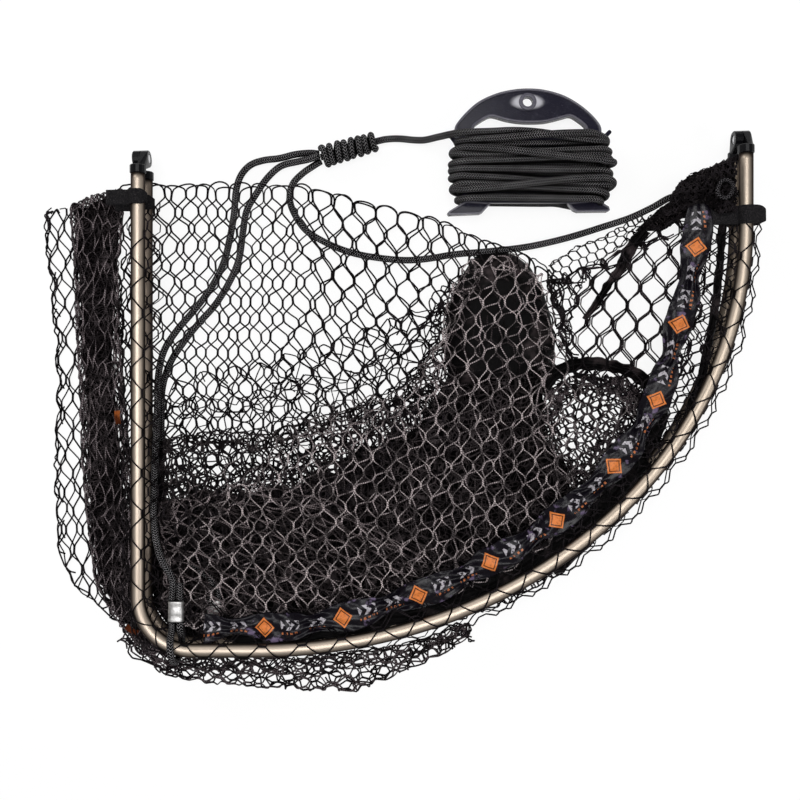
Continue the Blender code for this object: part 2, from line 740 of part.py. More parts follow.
def hem_ribbon(carrier):
    """Printed ribbon that follows the front tube on its inside."""
    route = smooth_route([Vector((x, y, 0)) * MM for x, y in RIBBON_PATH], RIBBON_STEP)
    guide = plan_with_normals([Vector((point.x, point.y)) for point in route])
    half = RIBBON_WIDTH / 2
    outer = [tuple(point - normal * half) for point, normal in guide]
    inner = [tuple(point + normal * half) for point, normal in guide]
    matrix = Matrix.Translation((0, 0, FRONT_Z - RIBBON_THICKNESS / 2))
    return mesh_object(
        "hem_ribbon_front", prism([outer + inner[::-1]], RIBBON_THICKNESS, matrix),
        "satin_ribbon", carrier)


def strap_loops(tail_left, tail_right):
    """End view of a strap: a ring round the tube with flat tails to either side."""
    inner = TUBE_OD / 2 + CLEARANCE
    outer = inner + STRAP_THICKNESS
    half = math.asin(STRAP_THICKNESS / outer)
    loop = []
    for centre, tail in ((0.0, tail_right), (math.pi, tail_left)):
        reach = (outer + tail) * math.cos(centre)
        sign = 1 if centre == 0.0 else -1
        if tail > 0:
            loop += [(reach, -sign * STRAP_THICKNESS), (reach, sign * STRAP_THICKNESS)]
        first = centre + half
        for k in range(9):
            angle = first + (math.pi - 2 * half) * k / 8
            loop.append((outer * math.cos(angle), outer * math.sin(angle)))
    return [loop, ring(inner, 20)[::-1]]


def strap(name, centre_x, low_y, level, tail_left, tail_right, carrier):
    """Hook-and-loop strap closed round a tube."""
    matrix = (
        Matrix.Translation((centre_x, low_y + STRAP_WIDTH, level))
        @ Matrix.Rotation(math.radians(90), 4, "X")
    )
    return mesh_object(
        name, prism(strap_loops(tail_left, tail_right), STRAP_WIDTH, matrix),
        "hook_and_loop", carrier)


# Bridle

def ferrule(name, centre, along, carrier):
    """Crimped oval ferrule over two strands, pinched at its two crimps."""
    across = Vector((-along.y, along.x, 0))
    half_width = FERRULE_WIDTH / 2
    half_height = FERRULE_HEIGHT / 2
    stations = [
        (-0.5, 0.0), (-0.42, 0.0), (-0.30, 1.0), (-0.18, 1.0), (-0.06, 0.0),
        (0.06, 0.0), (0.18, 1.0), (0.30, 1.0), (0.42, 0.0), (0.5, 0.0),
    ]
    bm = bmesh.new()
    rings = []
    for share, pinch in stations:
        width = half_width - half_height
        radius = half_height - pinch * FERRULE_WAIST
        verts = []
        for k in range(12):
            angle = 2 * math.pi * (k + 0.5) / 12
            side = math.copysign(width, math.cos(angle)) + radius * math.cos(angle)
            point = centre + along * share * FERRULE_LENGTH + across * side
            verts.append(bm.verts.new(point + Vector((0, 0, radius * math.sin(angle)))))
        rings.append(verts)
    for first, second in zip(rings, rings[1:]):
        for k in range(12):
            n = (k + 1) % 12
            bm.faces.new((first[k], first[n], second[n], second[k]))
    bm.faces.new(rings[0])
    bm.faces.new(rings[-1])
    return mesh_object(name, bm, "silver_ferrule", carrier)


def bridle_loop(name, tube_point, along, reach, skew, carrier):
    """Rope loop that runs from a ferrule round the tube and back beside itself."""
    across = Vector((-along.y, along.x, 0))
    room = TUBE_OD / 2 / math.cos(skew) + LOOP_SPREAD * math.tan(skew)
    radius = room + ROPE_D / 2 + CLEARANCE + LOOP_SLACK
    start = reach - FERRULE_LENGTH / 2 - 2 * CLEARANCE
    going = [
        tube_point - along * start - across * LOOP_SPREAD,
        tube_point - along * (start - ROPE_D) - across * LOOP_SPREAD,
    ]
    returning = [point + across * 2 * LOOP_SPREAD for point in going[::-1]]
    low_angle = math.radians(LOOP_NECK_ANGLE)
    circle = []
    for k in range(LOOP_POINTS):
        share = k / (LOOP_POINTS - 1)
        angle = low_angle + (2 * math.pi - 2 * low_angle) * share
        side = LOOP_SPREAD * (2 * share - 1)
        circle.append(
            tube_point - along * radius * math.cos(angle) + across * side
            + Vector((0, 0, radius * math.sin(angle)))
        )
    points = smooth_route(going + circle + returning, ROPE_D)
    return tube_curve(name, points, ROPE_D, 2, "black_rope", carrier)


def bridle_end(place, tube_point, along, reach, skew, carrier):
    """Ferrule, loop and tail at one end of the bridle; returns where the leg arrives."""
    across = Vector((-along.y, along.x, 0))
    centre = tube_point - along * reach
    ferrule("ferrule_" + place, centre, along, carrier)
    bridle_loop("bridle_loop_" + place, tube_point, along, reach, skew, carrier)
    face = centre - along * (FERRULE_LENGTH / 2 + 2 * CLEARANCE)
    tail = [
        face + across * LOOP_SPREAD,
        face + across * LOOP_SPREAD - along * TAIL_LENGTH * 0.5,
        face + across * LOOP_SPREAD * 1.5 - along * TAIL_LENGTH,
    ]
    rope("bridle_tail_" + place, tail, carrier)
    return face - across * LOOP_SPREAD, along


def leg(name, knot_offset, route, arrival, carrier):
    """One leg of the bridle, from the knot to its ferrule."""
    face, along = arrival
    axis = (KNOT_RIGHT - KNOT_LEFT).normalized()
    start = KNOT_LEFT - axis * 0.5 * MM + knot_offset
    points = [start] + millimetres(route) + [face - along * ROPE_STEP, face]
    return rope(name, points, carrier)


def knot_offsets():
    """Where the three legs leave the knot, side by side about its axis."""
    axis = (KNOT_RIGHT - KNOT_LEFT).normalized()
    across = Vector((-axis.y, axis.x, 0))
    spread = ROPE_D / 2 + CLEARANCE + 0.0003
    return {
        "front": across * spread - Vector((0, 0, 0.1 * spread)),
        "rear": Vector((0, 0, 1.7 * spread)),
        "tip": -across * spread - Vector((0, 0, 0.1 * spread)),
    }


def bridle_knot(carrier):
    """Barrel of rope wraps round the main rope's end, one unbroken helix."""
    axis = (KNOT_RIGHT - KNOT_LEFT).normalized()
    across = Vector((-axis.y, axis.x, 0))
    length = (KNOT_RIGHT - KNOT_LEFT).length - KNOT_WRAP_D
    facet = math.cos(math.pi / KNOT_POINTS_PER_TURN)
    radius = (ROPE_D / 2 + KNOT_WRAP_D / 2 + CLEARANCE) / facet
    count = round(length / KNOT_PITCH * KNOT_POINTS_PER_TURN)
    points = []
    for k in range(count + 1):
        angle = 2 * math.pi * k / KNOT_POINTS_PER_TURN
        along = KNOT_WRAP_D / 2 + length * k / count
        points.append(
            KNOT_LEFT + axis * along + across * radius * math.cos(angle)
            + Vector((0, 0, radius * math.sin(angle)))
        )
    gap = least_gap(points, KNOT_WRAP_D, KNOT_POINTS_PER_TURN)
    print("bridle_knot least gap to itself", round(gap / MM, 2), "mm")
    return tube_curve("bridle_knot", points, KNOT_WRAP_D, 1, "black_rope", carrier)


def main_rope(carrier):
    """Rope from inside the knot to the end of the winding's top turn."""
    axis = (KNOT_RIGHT - KNOT_LEFT).normalized()
    run = winding_half_width(WINDING_TOP) - WINDING_HALF_THICKNESS
    end = Vector((
        WINDER_X - run - CLEARANCE, WINDER_Y + WINDING_TOP, WINDING_Z + WINDING_HALF_THICKNESS))
    points = [KNOT_LEFT + axis * 0.5 * MM] + millimetres(MAIN_ROPE_ROUTE)
    points += [end - Vector((ROPE_STEP, 0, 0)), end]
    return rope("main_rope", points, carrier)


# Line winder and winding

def winding_half_width(y):
    """Half width of the winding's centreline, drawn in towards its two ends."""
    middle = (WINDING_TOP + WINDING_BOTTOM) / 2
    share = (y - middle) / ((WINDING_TOP - WINDING_BOTTOM) / 2)
    return WINDING_HALF_WIDTH * (1 - WINDING_END_TAPER * min(1.0, abs(share)) ** 4)


def stadium_point(turn, half_width, radius):
    """Point of a flat oval: a third of a turn for each round end, a sixth for each run."""
    share = turn % 1.0
    run = half_width - radius
    if share < 1 / 3:
        angle = -0.5 * math.pi + 3 * math.pi * share
        return run + radius * math.cos(angle), radius * math.sin(angle)
    if share < 1 / 2:
        return run * (1 - 12 * (share - 1 / 3)), radius
    if share < 5 / 6:
        angle = 0.5 * math.pi + 3 * math.pi * (share - 1 / 2)
        return -run + radius * math.cos(angle), radius * math.sin(angle)
    return run * (-1 + 12 * (share - 5 / 6)), -radius


def rope_winding(carrier):
    """Outer layer of rope on the winder, one unbroken run of flat turns."""
    height = WINDING_TOP - WINDING_BOTTOM
    count = round(WINDING_TURNS * WINDING_POINTS_PER_TURN)
    points = []
    for k in range(count + 1):
        y = WINDING_BOTTOM + height * k / count
        x, z = stadium_point(
            k / WINDING_POINTS_PER_TURN - 1 / 12, winding_half_width(y), WINDING_HALF_THICKNESS)
        points.append(Vector((WINDER_X + x, WINDER_Y + y, WINDING_Z + z)))
    gap = least_gap(points, ROPE_D, WINDING_POINTS_PER_TURN)
    print("rope_winding least gap to itself", round(gap / MM, 2), "mm")
    return tube_curve("rope_winding", points, ROPE_D, 1, "black_rope", carrier)


def winding_core(carrier):
    """Inner layers of the winding as one plain body, slotted for the winder's web."""
    facet = math.cos(math.pi * 3 / WINDING_POINTS_PER_TURN)
    inset = ROPE_D / 2 + CLEARANCE
    radius = WINDING_HALF_THICKNESS * facet - inset
    bm = bmesh.new()
    rows = []
    for k in range(CORE_SECTIONS):
        y = WINDING_BOTTOM + (WINDING_TOP - WINDING_BOTTOM) * k / (CORE_SECTIONS - 1)
        half_width = winding_half_width(y) - inset - (WINDING_HALF_THICKNESS - WINDING_HALF_THICKNESS * facet)
        half_width -= 0.6 * MM
        row = []
        for n in range(WINDING_POINTS_PER_TURN):
            x, z = stadium_point(n / WINDING_POINTS_PER_TURN, half_width, radius)
            row.append(bm.verts.new((WINDER_X + x, WINDER_Y + y, WINDING_Z + z)))
        rows.append(row)
    for first, second in zip(rows, rows[1:]):
        for k in range(WINDING_POINTS_PER_TURN):
            n = (k + 1) % WINDING_POINTS_PER_TURN
            bm.faces.new((first[k], first[n], second[n], second[k]))
    bm.faces.new(rows[0])
    bm.faces.new(rows[-1])
    core = mesh_object("rope_winding_core", bm, "black_rope", carrier)
    half_x = WEB_HALF_WIDTH + CLEARANCE
    half_z = WINDER_THICKNESS / 2 + CLEARANCE
    slot = [(-half_x, -half_z), (half_x, -half_z), (half_x, half_z), (-half_x, half_z)]
    matrix = (
        Matrix.Translation((WINDER_X, WINDER_Y + 2 * WINDING_HALF_WIDTH, WINDING_Z))
        @ Matrix.Rotation(math.radians(90), 4, "X")
    )
    cutter = mesh_object(
        "rope_winding_core_slot", prism([slot], 4 * WINDING_HALF_WIDTH, matrix), "black_rope", carrier)
    boolean(core, cutter, "DIFFERENCE")
    return core


def line_winder(carrier):
    """Moulded winder: arched handle, web and feet, a thin plate inside a raised rim."""
    outline = [(x * MM, y * MM) for x, y in WINDER_OUTLINE]
    window = [(x * MM, y * MM) for x, y in WINDER_WINDOW]
    hole_centre = (WINDER_HOLE_CENTRE[0] * MM, WINDER_HOLE_CENTRE[1] * MM)
    hole = ring(WINDER_BOSS_RADIUS, 16, hole_centre)
    base = WINDING_Z - WINDER_THICKNESS / 2
    matrix = Matrix.Translation((WINDER_X, WINDER_Y, base))
    bm = prism([outline, window, hole], WINDER_THICKNESS, matrix)
    for side in (-1, 1):
        faces = [f for f in bm.faces if abs(f.normal.z) > 0.9
                 and (f.calc_center_median().z > WINDING_Z) == (side > 0)]
        bmesh.ops.recalc_face_normals(bm, faces=bm.faces)
        bmesh.ops.inset_region(bm, faces=faces, thickness=WINDER_RIM, use_even_offset=True)
        bmesh.ops.inset_region(bm, faces=faces, thickness=WINDER_DRAFT, use_even_offset=True)
        inner = {vert for face in faces for vert in face.verts}
        bmesh.ops.translate(bm, verts=list(inner), vec=(0, 0, -side * WINDER_POCKET))
    winder = mesh_object("line_winder", bm, "winder_plastic", carrier)
    boss_matrix = Matrix.Translation((WINDER_X + hole_centre[0], WINDER_Y + hole_centre[1], WINDING_Z))
    half = WINDER_THICKNESS / 2 + WINDER_BOSS_RISE
    boss = mesh_object("line_winder_boss", lathe([
        (WINDER_HOLE_RADIUS, -half), (WINDER_BOSS_RADIUS - WINDER_DRAFT, -half),
        (WINDER_BOSS_RADIUS + WINDER_RIM / 2, -half + 2 * WINDER_BOSS_RISE),
        (WINDER_BOSS_RADIUS + WINDER_RIM / 2, half - 2 * WINDER_BOSS_RISE),
        (WINDER_BOSS_RADIUS - WINDER_DRAFT, half), (WINDER_HOLE_RADIUS, half),
        (WINDER_HOLE_RADIUS, -half),
    ], 16, boss_matrix), "winder_plastic", carrier)
    boolean(winder, boss, "UNION")
    return winder


# Assembly

def build_frame(rear, front):
    """Both tubes, their end fittings, the hinge pins and washers."""
    frame_tube("frame_tube_rear", REAR_Z, rear)
    frame_tube("frame_tube_front", FRONT_Z, front)
    for place, pin in (("left", HINGE_LEFT), ("right", HINGE_RIGHT)):
        hinge_fitting("hinge_fitting_rear_" + place, pin, REAR_Z, -1, rear)
        hinge_fitting("hinge_fitting_front_" + place, pin, FRONT_Z, 1, front)
        hinge_pin("hinge_pin_" + place, pin, rear)
        hinge_washer("hinge_washer_" + place, pin, rear)


def build_soft_parts(rear, front):
    """Netting, gathers, ribbons, base patch and straps."""
    floor_net(rear)
    sleeve_net(front)
    metres = lambda outline: [(x * MM, y * MM) for x, y in outline]
    mound("net_bag_folds", metres(HEAP_OUTLINE), NET_TOP, HEAP_HEIGHT, "black_netting", rear)
    mound("base_patch", metres(PATCH_OUTLINE), NET_TOP, PATCH_HEIGHT, "satin_ribbon", rear, 0.05)
    mound("sleeve_gather_right", metres(RIGHT_GATHER_OUTLINE),
          FRONT_Z + STRAP_THICKNESS + CLEARANCE, RIGHT_GATHER_HEIGHT, "hook_and_loop", front, 0.06)
    loaf("sleeve_gather_left", metres(LEFT_GATHER_PATH), LEFT_GATHER_WIDTH, NET_TOP,
         LEFT_GATHER_HEIGHT, "black_netting", rear)
    loaf("hem_ribbon_rear", metres(REAR_RIBBON_PATH), REAR_RIBBON_WIDTH, NET_TOP,
         REAR_RIBBON_HEIGHT, "satin_ribbon", rear, folds=1, spacing=0.012)
    hem_ribbon(front)
    for place, level, carrier in (("front", FRONT_Z, front), ("rear", REAR_Z, rear)):
        strap("strap_" + place + "_left", LEFT_X, HINGE_LEFT_Y - STRAP_LEFT_DROP - STRAP_WIDTH / 2,
              level, STRAP_LEFT_TAIL, 0.0, carrier)
        inner_tail = STRAP_RIGHT_TAIL if place == "front" else 0.0
        strap("strap_" + place + "_right", RIGHT_X, HINGE_RIGHT_Y - STRAP_RIGHT_DROP - STRAP_WIDTH / 2,
              level, inner_tail, STRAP_RIGHT_LOOP, carrier)


def build_bridle(rear, front):
    """Three legs with their ferrules and loops, the knot and the main rope."""
    offsets = knot_offsets()
    down = Vector((0, -1, 0))
    corner = Vector((LEFT_X + CORNER_RADIUS, CORNER_Y, FRONT_Z))
    lean = math.radians(253.2)
    front_point = corner + Vector((math.cos(lean), math.sin(lean), 0)) * CORNER_RADIUS
    arrival = bridle_end("front", front_point, down, 0.0372, math.radians(270) - lean, front)
    leg("bridle_leg_front", offsets["front"], LEG_FRONT_ROUTE, arrival, front)
    rear_point = Vector((-0.185, BOTTOM_Y, REAR_Z))
    arrival = bridle_end("rear", rear_point, down, 0.034, 0.0, rear)
    leg("bridle_leg_rear", offsets["rear"], LEG_REAR_ROUTE, arrival, rear)
    tip_point = Vector((RIGHT_X, 0.207, REAR_Z))
    arrival = bridle_end("tip", tip_point, Vector((1, 0, 0)), 0.034, 0.0, rear)
    leg("bridle_leg_tip", offsets["tip"], LEG_TIP_ROUTE, arrival, rear)
    bridle_knot(rear)
    main_rope(rear)


def build_winder(rear):
    """Line winder with its rope."""
    line_winder(rear)
    winding_core(rear)
    rope_winding(rear)


def main():
    """Build the drop net."""
    clear_scene()
    rear = make_empty("rear_half", Matrix.Identity(4))
    front = make_empty("front_half_hinge", hinge_matrix((HINGE_LEFT + HINGE_RIGHT) / 2))
    build_frame(rear, front)
    build_soft_parts(rear, front)
    build_bridle(rear, front)
    build_winder(rear)


main()
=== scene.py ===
"""Dresses the folding drop net: camera, light, finishes and every piece that is seen."""

import logging
import math
from collections.abc import Callable, Sequence
from dataclasses import dataclass
from enum import Enum
from functools import partial

import bmesh
import bpy
import numpy as np
from mathutils import Matrix, Vector, noise


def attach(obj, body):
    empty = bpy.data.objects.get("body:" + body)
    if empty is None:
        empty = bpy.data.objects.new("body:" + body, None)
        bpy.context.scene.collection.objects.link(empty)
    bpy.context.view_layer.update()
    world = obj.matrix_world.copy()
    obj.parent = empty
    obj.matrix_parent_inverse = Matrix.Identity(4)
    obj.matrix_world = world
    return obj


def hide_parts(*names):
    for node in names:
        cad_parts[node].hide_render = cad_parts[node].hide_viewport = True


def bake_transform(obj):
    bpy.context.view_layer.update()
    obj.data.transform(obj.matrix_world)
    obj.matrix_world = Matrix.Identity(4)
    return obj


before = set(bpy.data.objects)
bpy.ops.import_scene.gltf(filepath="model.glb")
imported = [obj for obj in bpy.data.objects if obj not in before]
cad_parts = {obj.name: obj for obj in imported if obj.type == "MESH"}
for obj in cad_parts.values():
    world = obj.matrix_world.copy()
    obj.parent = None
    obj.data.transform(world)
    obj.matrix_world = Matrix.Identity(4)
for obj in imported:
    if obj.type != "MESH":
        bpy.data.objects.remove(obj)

LOG = logging.getLogger("drop_net")
MM = 0.001
CLEARANCE = 0.0003
# Any number but 0, which would seed the noise from the clock
NOISE_SEED = 5

# The camera straight above, in metres, and the picture's frame, in pixels
EYE = np.array((0.006, -0.006, 0.9458))
LENS_MM = 40.5
SENSOR_MM = 36.0
FRAME_PIXELS = 800
FOCAL_PIXELS = FRAME_PIXELS * LENS_MM / SENSOR_MM

# The ring and its levels, as in the part
TUBE_OD = 0.014
TUBE_WALL = 0.0012
REAR_Z = 0.0182
FRONT_Z = 0.0462
PIN_Z = 0.0322
LEFT_X = -0.256
RIGHT_X = 0.352
CORNER_RADIUS = 0.0535
CORNER_Y = -0.203
BOTTOM_Y = CORNER_Y - CORNER_RADIUS
SWEEP_START_X = -0.139
SWEEP_END_Y = 0.170
HINGE_LEFT = Vector((-0.256, 0.2384, PIN_Z))
HINGE_RIGHT = Vector((0.352, 0.2585, PIN_Z))
TUBE_SETBACK = 0.0184

# The rope and the bridle
ROPE_D = 0.007
FERRULE_LENGTH = 0.020
LOOP_SPREAD = 0.0038
KNOT_LEFT = Vector((-77, 246, 11)) * MM
KNOT_RIGHT = Vector((-17, 263, 11)) * MM
KNOT_AXIS = (KNOT_RIGHT - KNOT_LEFT).normalized()
KNOT_ACROSS = Vector((-KNOT_AXIS.y, KNOT_AXIS.x, 0))

# The winder
WINDER = Vector((0.140, 0.251, 0.0203))
WINDER_HOLE = Vector((-0.0031, 0.0488, 0))
# Level of its face, in millimetres
WINDER_LEVEL = 22

# The ribbon's print repeats at this length, and so do its ripples
PRINT_REPEAT = 0.079
# Waves of crumpled net, and of the strands round a tube
CRUMPLE_LENGTH = 0.014
SLEEVE_WAVE = 0.05
# Height of the ripples beside a tube, and how far a turned edge lies under the net there
RIPPLE = 0.0012
# How much of what lies outside an outline is turned back under it
TURNED_BACK = 0.75
# How far the front half's net sags in its middle, in millimetres
FRONT_SAG = 7
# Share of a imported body's rows that close it underneath
SOLE = 0.12


class Half(Enum):
    """The two bodies of the ring."""

    REAR = "rear_half"
    FRONT = "front_half"

    @property
    def tube(self) -> str:
        """Name of the body's own tube."""
        return "frame_tube_" + self.value.removesuffix("_half")


def millimetres(points: Sequence[tuple]) -> list[Vector]:
    """Turn given points in millimetres into vectors in metres."""
    return [Vector(point) * MM for point in points]


# Routes and outlines


def even_steps(points: Sequence[Vector], spacing: float) -> list[Vector]:
    """Pick points along a polyline at even steps, with both of its ends.

    Args:
        points: The polyline.
        spacing: The step wished for, in metres.

    Returns:
        The evenly spaced points.
    """
    lengths = [0.0]
    for first, second in zip(points, points[1:]):
        lengths.append(lengths[-1] + (second - first).length)
    count = max(2, round(lengths[-1] / spacing))
    targets = np.linspace(0, lengths[-1], count + 1)
    columns = [np.interp(targets, lengths, [point[k] for point in points]) for k in range(3)]
    return [Vector(values) for values in zip(*columns)]


def smooth_route(points: Sequence[Vector], spacing: float) -> list[Vector]:
    """Read a smooth curve through the points at even steps of its length.

    Args:
        points: The points that the curve passes through.
        spacing: The step wished for, in metres.

    Returns:
        The evenly spaced points of the curve.
    """
    points = [Vector(point) for point in points]
    ends = [2 * points[0] - points[1]] + points + [2 * points[-1] - points[-2]]
    dense = []
    for p0, p1, p2, p3 in zip(ends, ends[1:], ends[2:], ends[3:]):
        for k in range(12):
            t = k / 12
            dense.append(0.5 * (
                2 * p1 + (p2 - p0) * t + (2 * p0 - 5 * p1 + 4 * p2 - p3) * t**2
                + (3 * p1 - p0 - 3 * p2 + p3) * t**3
            ))
    dense.append(points[-1])
    return even_steps(dense, spacing)


def run_length(points: Sequence[Vector]) -> float:
    """Length of a polyline."""
    return sum((second - first).length for first, second in zip(points, points[1:]))


def lengths_along(points: np.ndarray) -> np.ndarray:
    """How far along a polyline each of its points lies."""
    return np.concatenate([[0.0], np.cumsum(np.linalg.norm(np.diff(points, axis=0), axis=1))])


def follow(route: Sequence[Vector], along: float) -> tuple[Vector, Vector]:
    """Walk along an evenly stepped route.

    Args:
        route: The route's points.
        along: Share of the route.

    Returns:
        The place there, and the level direction to the left of the route.
    """
    at = along * (len(route) - 1)
    index = min(len(route) - 2, max(0, int(at)))
    ahead = (route[index + 1] - route[index]).normalized()
    place = route[index].lerp(route[index + 1], at - index)
    return place, Vector((-ahead.y, ahead.x, 0)).normalized()


def ring_plan(steps: int = 1) -> list[Vector]:
    """Centreline of a half of the ring at height 0, from its left end to its right end.

    Args:
        steps: How many times finer the bends are than in the part.

    Returns:
        The plan's points.
    """
    plan = [Vector((LEFT_X, HINGE_LEFT.y - TUBE_SETBACK, 0))]
    for k in range(8 * steps + 1):
        angle = math.pi + 0.5 * math.pi * k / (8 * steps)
        plan.append(Vector((
            LEFT_X + CORNER_RADIUS + CORNER_RADIUS * math.cos(angle),
            CORNER_Y + CORNER_RADIUS * math.sin(angle), 0,
        )))
    for k in range(18 * steps + 1):
        angle = -0.5 * math.pi * (1 - k / (18 * steps))
        plan.append(Vector((
            SWEEP_START_X + (RIGHT_X - SWEEP_START_X) * math.cos(angle),
            SWEEP_END_Y + (SWEEP_END_Y - BOTTOM_Y) * math.sin(angle), 0,
        )))
    plan.append(Vector((RIGHT_X, HINGE_RIGHT.y - TUBE_SETBACK, 0)))
    return plan


class Outline:
    """A closed outline in the plan, with the tests that the netting needs."""

    def __init__(self, points: Sequence[tuple[float, float]]) -> None:
        """Keep the corners, given in millimetres, in metres."""
        self.corners = np.array(points, float) * MM
        self.ahead = np.roll(self.corners, -1, axis=0)

    def inside(self, points: np.ndarray) -> np.ndarray:
        """Tell which plane points lie inside.

        Args:
            points: Plane points, one a row.

        Returns:
            A mask with one value a point.
        """
        x, y = points[:, :1], points[:, 1:2]
        (x1, y1), (x2, y2) = self.corners.T, self.ahead.T
        spans = (y1 > y) != (y2 > y)
        rise = np.where(y2 == y1, 1e-12, y2 - y1)
        return (spans & (x < x1 + (y - y1) * (x2 - x1) / rise)).sum(1) % 2 == 1

    def nearest(self, points: np.ndarray) -> tuple[np.ndarray, np.ndarray]:
        """Find the foot of each point on the outline.

        Args:
            points: Plane points, one a row.

        Returns:
            The feet, and how far the points are from them.
        """
        sides = self.ahead - self.corners
        away = points[:, None] - self.corners[None]
        share = np.clip((away * sides).sum(2) / (sides**2).sum(1), 0, 1)
        feet = self.corners[None] + share[..., None] * sides[None]
        distance = np.linalg.norm(points[:, None] - feet, axis=2)
        best = distance.argmin(1)
        rows = np.arange(len(points))
        return feet[rows, best], distance[rows, best]

    def depth(self, points: np.ndarray) -> np.ndarray:
        """How deep inside the outline each point lies, negative outside it."""
        return np.where(self.inside(points), 1, -1) * self.nearest(points)[1]


# Materials


class Channel:
    """A socket of numbers that stands in sums and adds its Math nodes as it goes."""

    def __init__(self, recipe: "Recipe", socket: bpy.types.NodeSocket) -> None:
        """Wrap a socket of a recipe's tree."""
        self.recipe = recipe
        self.socket = socket

    def math(self, operation: str, *values: object, clamp: bool = False) -> "Channel":
        """Add a Math node.

        Args:
            operation: The node's operation.
            values: What goes into its sockets, in order.
            clamp: Whether the result is kept between 0 and 1.

        Returns:
            The node's result.
        """
        settings = {"operation": operation, "use_clamp": clamp}
        return self.recipe.channel("ShaderNodeMath", settings, dict(enumerate(values)))

    def __add__(self, other: object) -> "Channel":
        """Add."""
        return self.math("ADD", self, other)

    def __sub__(self, other: object) -> "Channel":
        """Take away."""
        return self.math("SUBTRACT", self, other)

    def __rsub__(self, other: object) -> "Channel":
        """Be taken away."""
        return self.math("SUBTRACT", other, self)

    def __mul__(self, other: object) -> "Channel":
        """Multiply."""
        return self.math("MULTIPLY", self, other)

    def __truediv__(self, other: object) -> "Channel":
        """Divide."""
        return self.math("DIVIDE", self, other)

    __radd__ = __add__
    __rmul__ = __mul__

    def sine(self) -> "Channel":
        """Sine of an angle in radians."""
        return self.math("SINE", self)

    def size(self) -> "Channel":
        """The value without its sign."""
        return self.math("ABSOLUTE", self)

    def part(self) -> "Channel":
        """What follows the point."""
        return self.math("FRACT", self)

    def higher(self, other: object) -> "Channel":
        """The higher of two values."""
        return self.math("MAXIMUM", self, other)

    def rise(self, low: float, high: float) -> "Channel":
        """Go smoothly from 0 at one value to 1 at the other."""
        return self.recipe.channel(
            "ShaderNodeMapRange", {"interpolation_type": "SMOOTHSTEP", "clamp": True},
            {"Value": self, "From Min": low, "From Max": high})


